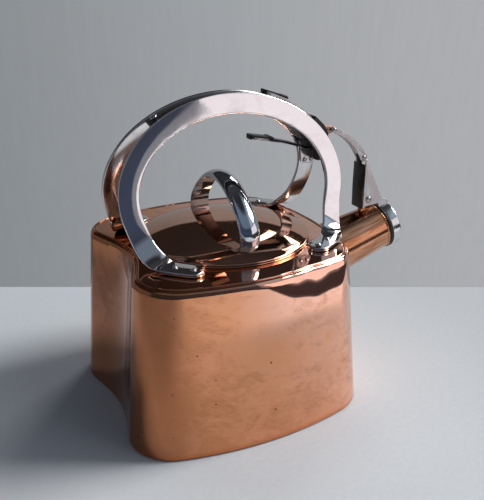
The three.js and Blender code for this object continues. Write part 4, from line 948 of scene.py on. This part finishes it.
# The thumb and finger strips take the half-metal finish with painted light.
for name in ("thumb_strip", "finger_strip", "link_strap", "arm_channel"):
    polish_node(name, strip_steel_painted_light if name.endswith("_strip") else strap_steel, edge=0.25)
for name in ("link_pin", "arm_pin", "whistle_pivot_pin", "return_spring", "whistle_disc"):
    polish_node(name, rivet_steel, edge=0, angle=50)
for name in ("grip_insert", "lever_body", "thumb_pad", "finger_pad", "arm_cover"):
    polish_node(name, gloss_black if name == "arm_cover" else black, edge=0.4)
polish_node("lever_horn", horn_copper, edge=0.2)
polish_node("spout_lug", spout_copper, edge=0.2)
polish_node("base_plate", body_copper, edge=0.1)
polish_node("lid_skirt", lid_copper, edge=0.1)


# Floor, light and camera; lengths in metres, but the camera's place in millimetres

VIEW_RIGHT = Vector((0.8917, -0.4527, 0))
VIEW_AHEAD = Vector((0.4527, 0.8917, 0))
FLOOR_FRONT = -0.9
FLOOR_BACK = 0.1675
FLOOR_LEFT = -2.5
FLOOR_RIGHT = 0.52
# The floor's painted shade and painted light.
FLOOR_PAINTED_SHADE = (0.20, 0.20, 0.21)
FLOOR_PAINTED_LIGHT = (0.96, 0.98, 1.0)


def floor_corner(ahead, right):
    return VIEW_AHEAD * ahead + VIEW_RIGHT * right


def floor_finish():
    """A plain pale top with painted light and shade: a painted pool of light in front and towards the front
    left;
    painted shade behind on the right, far out on both sides and past the picture's left edge, where only the
    metal shows it."""
    finish = Finish("floor_finish")
    across, back = finish.axis("X"), finish.axis("Y")
    right = across * VIEW_RIGHT.x + back * VIEW_RIGHT.y
    ahead = across * VIEW_AHEAD.x + back * VIEW_AHEAD.y
    clouds = finish.noise(180, detail=2).ramp(0.3, 0.7)
    grain = finish.noise(4, detail=4, rough=0.6).ramp(0.35, 0.7)
    colour = finish.blend(clouds * 0.4 + grain * 0.6, (0.66, 0.705, 0.75), (0.61, 0.655, 0.70))
    # Painted shade: darker behind on the right and far out on both sides.
    corner = (ahead * 0.4 + right * 0.6).ramp(0.02, 0.22)
    left = -1 * right
    sides = (right.ramp(0.27, 0.40) * 0.45).most(left.ramp(0.28, 0.42) * 0.5)
    colour = finish.blend((corner * 0.3).most(sides), colour, FLOOR_PAINTED_SHADE)
    # Painted light: a brighter pool in front of the kettle and towards the front left.
    front = (across * across + back * back).ramp(0.055, 0.096) * (-1 * ahead).ramp(-0.01, 0.05)
    front_left = -1 * ahead - right * 0.6
    bright = (front * right.ramp(-0.05, 0.08)).most(front_left.ramp(0.08, 0.24) * 0.5)
    colour = finish.blend(bright, colour, FLOOR_PAINTED_LIGHT)
    # Painted shade past the picture's left edge, which only the metal reflects.
    far_left_painted_shade = front_left.ramp(0.16, 0.38) * left.ramp(-0.08, 0.12)
    colour = finish.blend(far_left_painted_shade * 0.5, colour, FLOOR_PAINTED_SHADE)
    finish.set(Base_Color=colour, Roughness=0.6)
    return finish.material


def lay_floor():
    corners = [floor_corner(FLOOR_FRONT, FLOOR_LEFT), floor_corner(FLOOR_FRONT, FLOOR_RIGHT),
               floor_corner(FLOOR_BACK, FLOOR_RIGHT), floor_corner(FLOOR_BACK, FLOOR_LEFT)]
    data = bpy.data.meshes.new("floor")
    data.from_pydata(corners, [], [(0, 1, 2, 3)])
    data.materials.append(floor_finish())
    piece = bpy.data.objects.new("floor", data)
    bpy.context.scene.collection.objects.link(piece)


lay_floor()


def lamp(name, place, target, size, power, colour):
    """A soft box: a rectangle of light that faces its target."""
    data = bpy.data.lights.new(name, "AREA")
    data.shape = "RECTANGLE"
    data.size, data.size_y = size
    data.energy = power
    data.color = colour
    light = bpy.data.objects.new(name, data)
    bpy.context.scene.collection.objects.link(light)
    light.location = place
    light.rotation_euler = (Vector(target) - Vector(place)).to_track_quat("-Z", "Y").to_euler()


WARM_WHITE = (1.0, 0.985, 0.96)
ROSE_WHITE = (1.0, 0.90, 0.90)
lamp("window_right", (3.31, -0.765, 3.0), (0, 0, 0.1), size=(1.75, 1.5), power=182, colour=WARM_WHITE)
lamp("window_rear_right", (1.84, 1.60, 1.98), (0, 0, 0.12), size=(0.95, 0.75), power=16, colour=WARM_WHITE)
lamp("window_front_right", (2.205, -2.09, 0.90), (0, 0, 0.15), size=(2.64, 1.54), power=11.0,
     colour=ROSE_WHITE)

world = bpy.data.worlds.new("room")
bpy.context.scene.world = world
world.use_nodes = True
world.node_tree.nodes.clear()
room = Nodes(world.node_tree, "Generated")


def shades_by_height(stops):
    """The room's shades by height: a list of the direction's Z and a colour."""
    share = room.node("ShaderNodeMapRange", None, Value=room.axis("Z"), From_Min=-1)
    node = room.node("ShaderNodeValToRGB", None, share.outputs["Result"])
    elements = node.color_ramp.elements
    for i, (height, shade) in enumerate(stops):
        stop = elements[i] if i < 2 else elements.new((height + 1) / 2)
        stop.position = (height + 1) / 2
        stop.color = (*shade, 1)
    return node.outputs[0]


FLOOR_SHADE = (0.25, 0.25, 0.26)
CEILING_SHADE = (0.03, 0.03, 0.035)
WINDOW_SHADE = (0.42, 0.50, 0.58)
WALL_SHADES = [(-1, FLOOR_SHADE), (-0.02, (0.33, 0.34, 0.35)), (0.365, (0.36, 0.37, 0.38)),
               (0.375, (0.028, 0.023, 0.022)), (0.75, CEILING_SHADE), (1, (0.05, 0.05, 0.055))]
DIM_WALL_SHADES = [(-1, FLOOR_SHADE), (-0.02, (0.165, 0.17, 0.175)), (0.365, (0.18, 0.185, 0.19)),
                   *WALL_SHADES[3:]]
LEFT_SHADES = [(-1, FLOOR_SHADE), (-0.25, (0.20, 0.20, 0.20)), (-0.12, (0.04, 0.04, 0.05)),
               (0.06, (0.055, 0.07, 0.115)), (0.4, (0.05, 0.055, 0.08)), (0.55, (0.16, 0.20, 0.26)),
               (0.88, (0.16, 0.20, 0.25)), (0.95, CEILING_SHADE), (1, CEILING_SHADE)]
RIGHT_SHADES = [(-1, (0.05, 0.04, 0.045)), (-0.03, (0.05, 0.045, 0.05)), (0.01, (0.27, 0.28, 0.30)),
                (0.45, (0.22, 0.21, 0.24)), (0.6, WINDOW_SHADE), (0.88, WINDOW_SHADE),
                (0.95, CEILING_SHADE), (1, CEILING_SHADE)]
# The backdrop's painted light: darker on the left, brighter on the right.
BACKDROP_SHADED_LEFT = (0.225, 0.245, 0.26)
BACKDROP_LIT_RIGHT = (0.410, 0.420, 0.440)
RIB_SCALE = (130, 130, 5)
RIB_RELIEF = (0.96, 1.04)

east, north = room.axis("X"), room.axis("Y")
front = room.blend(east.ramp(0.315, 0.335), shades_by_height(LEFT_SHADES), shades_by_height(RIGHT_SHADES))
rear = room.blend(east.ramp(-0.1, 0.65), shades_by_height(DIM_WALL_SHADES), shades_by_height(WALL_SHADES))
around = room.blend(north.ramp(-0.1, 0.1), front, rear)
reflected = room.node("ShaderNodeBackground", None, Color=around)

# The backdrop that only the camera sees: painted light brightens it towards the right, and its ribs are
# painted light and shade.
ribs = room.node("ShaderNodeMapping", None, Vector=room.place, Scale=RIB_SCALE)
ribbing = room.node("ShaderNodeTexNoise", None, Vector=ribs.outputs[0], Scale=1.0, Detail=4)
relief = room.node("ShaderNodeMapRange", None, Value=ribbing.outputs["Fac"], To_Min=RIB_RELIEF[0],
                   To_Max=RIB_RELIEF[1])
backdrop = room.blend(east.ramp(-0.1, 0.75), BACKDROP_SHADED_LEFT, BACKDROP_LIT_RIGHT)
seen = room.node("ShaderNodeBackground", None, Color=backdrop, Strength=relief.outputs["Result"])
to_camera = room.node("ShaderNodeLightPath").outputs["Is Camera Ray"]
both = room.node("ShaderNodeMixShader", None, to_camera, reflected.outputs[0], seen.outputs[0])
room.node("ShaderNodeOutputWorld", None, both.outputs[0])

CAMERA_PLACE = Vector((-195.297, -432.718, 304.566))
CAMERA_RIGHT = Vector((0.89117, -0.45367, 0.00103))
CAMERA_UP = Vector((0.19263, 0.38045, 0.90452))
CAMERA_BACK = -Vector((0.41075, 0.80588, -0.42643))
PICTURE_SIZE = (484, 500)
AXIS_PIXEL = (254.0, 285.28)
FOCAL_PIXELS = 690.15
camera_data = bpy.data.cameras.new("camera")
camera = bpy.data.objects.new("camera", camera_data)
bpy.context.scene.collection.objects.link(camera)
turn = Matrix((CAMERA_RIGHT, CAMERA_UP, CAMERA_BACK)).transposed().to_4x4()
camera.matrix_world = Matrix.Translation(CAMERA_PLACE * MM) @ turn
long_side = max(PICTURE_SIZE)
camera_data.sensor_width = 36
camera_data.lens = FOCAL_PIXELS / long_side * camera_data.sensor_width
camera_data.shift_x = (PICTURE_SIZE[0] / 2 - AXIS_PIXEL[0]) / long_side
camera_data.shift_y = (AXIS_PIXEL[1] - PICTURE_SIZE[1] / 2) / long_side
camera_data.clip_start = 0.01
camera_data.clip_end = 50
bpy.context.scene.camera = camera

bpy.context.scene.view_settings.view_transform = "Standard"
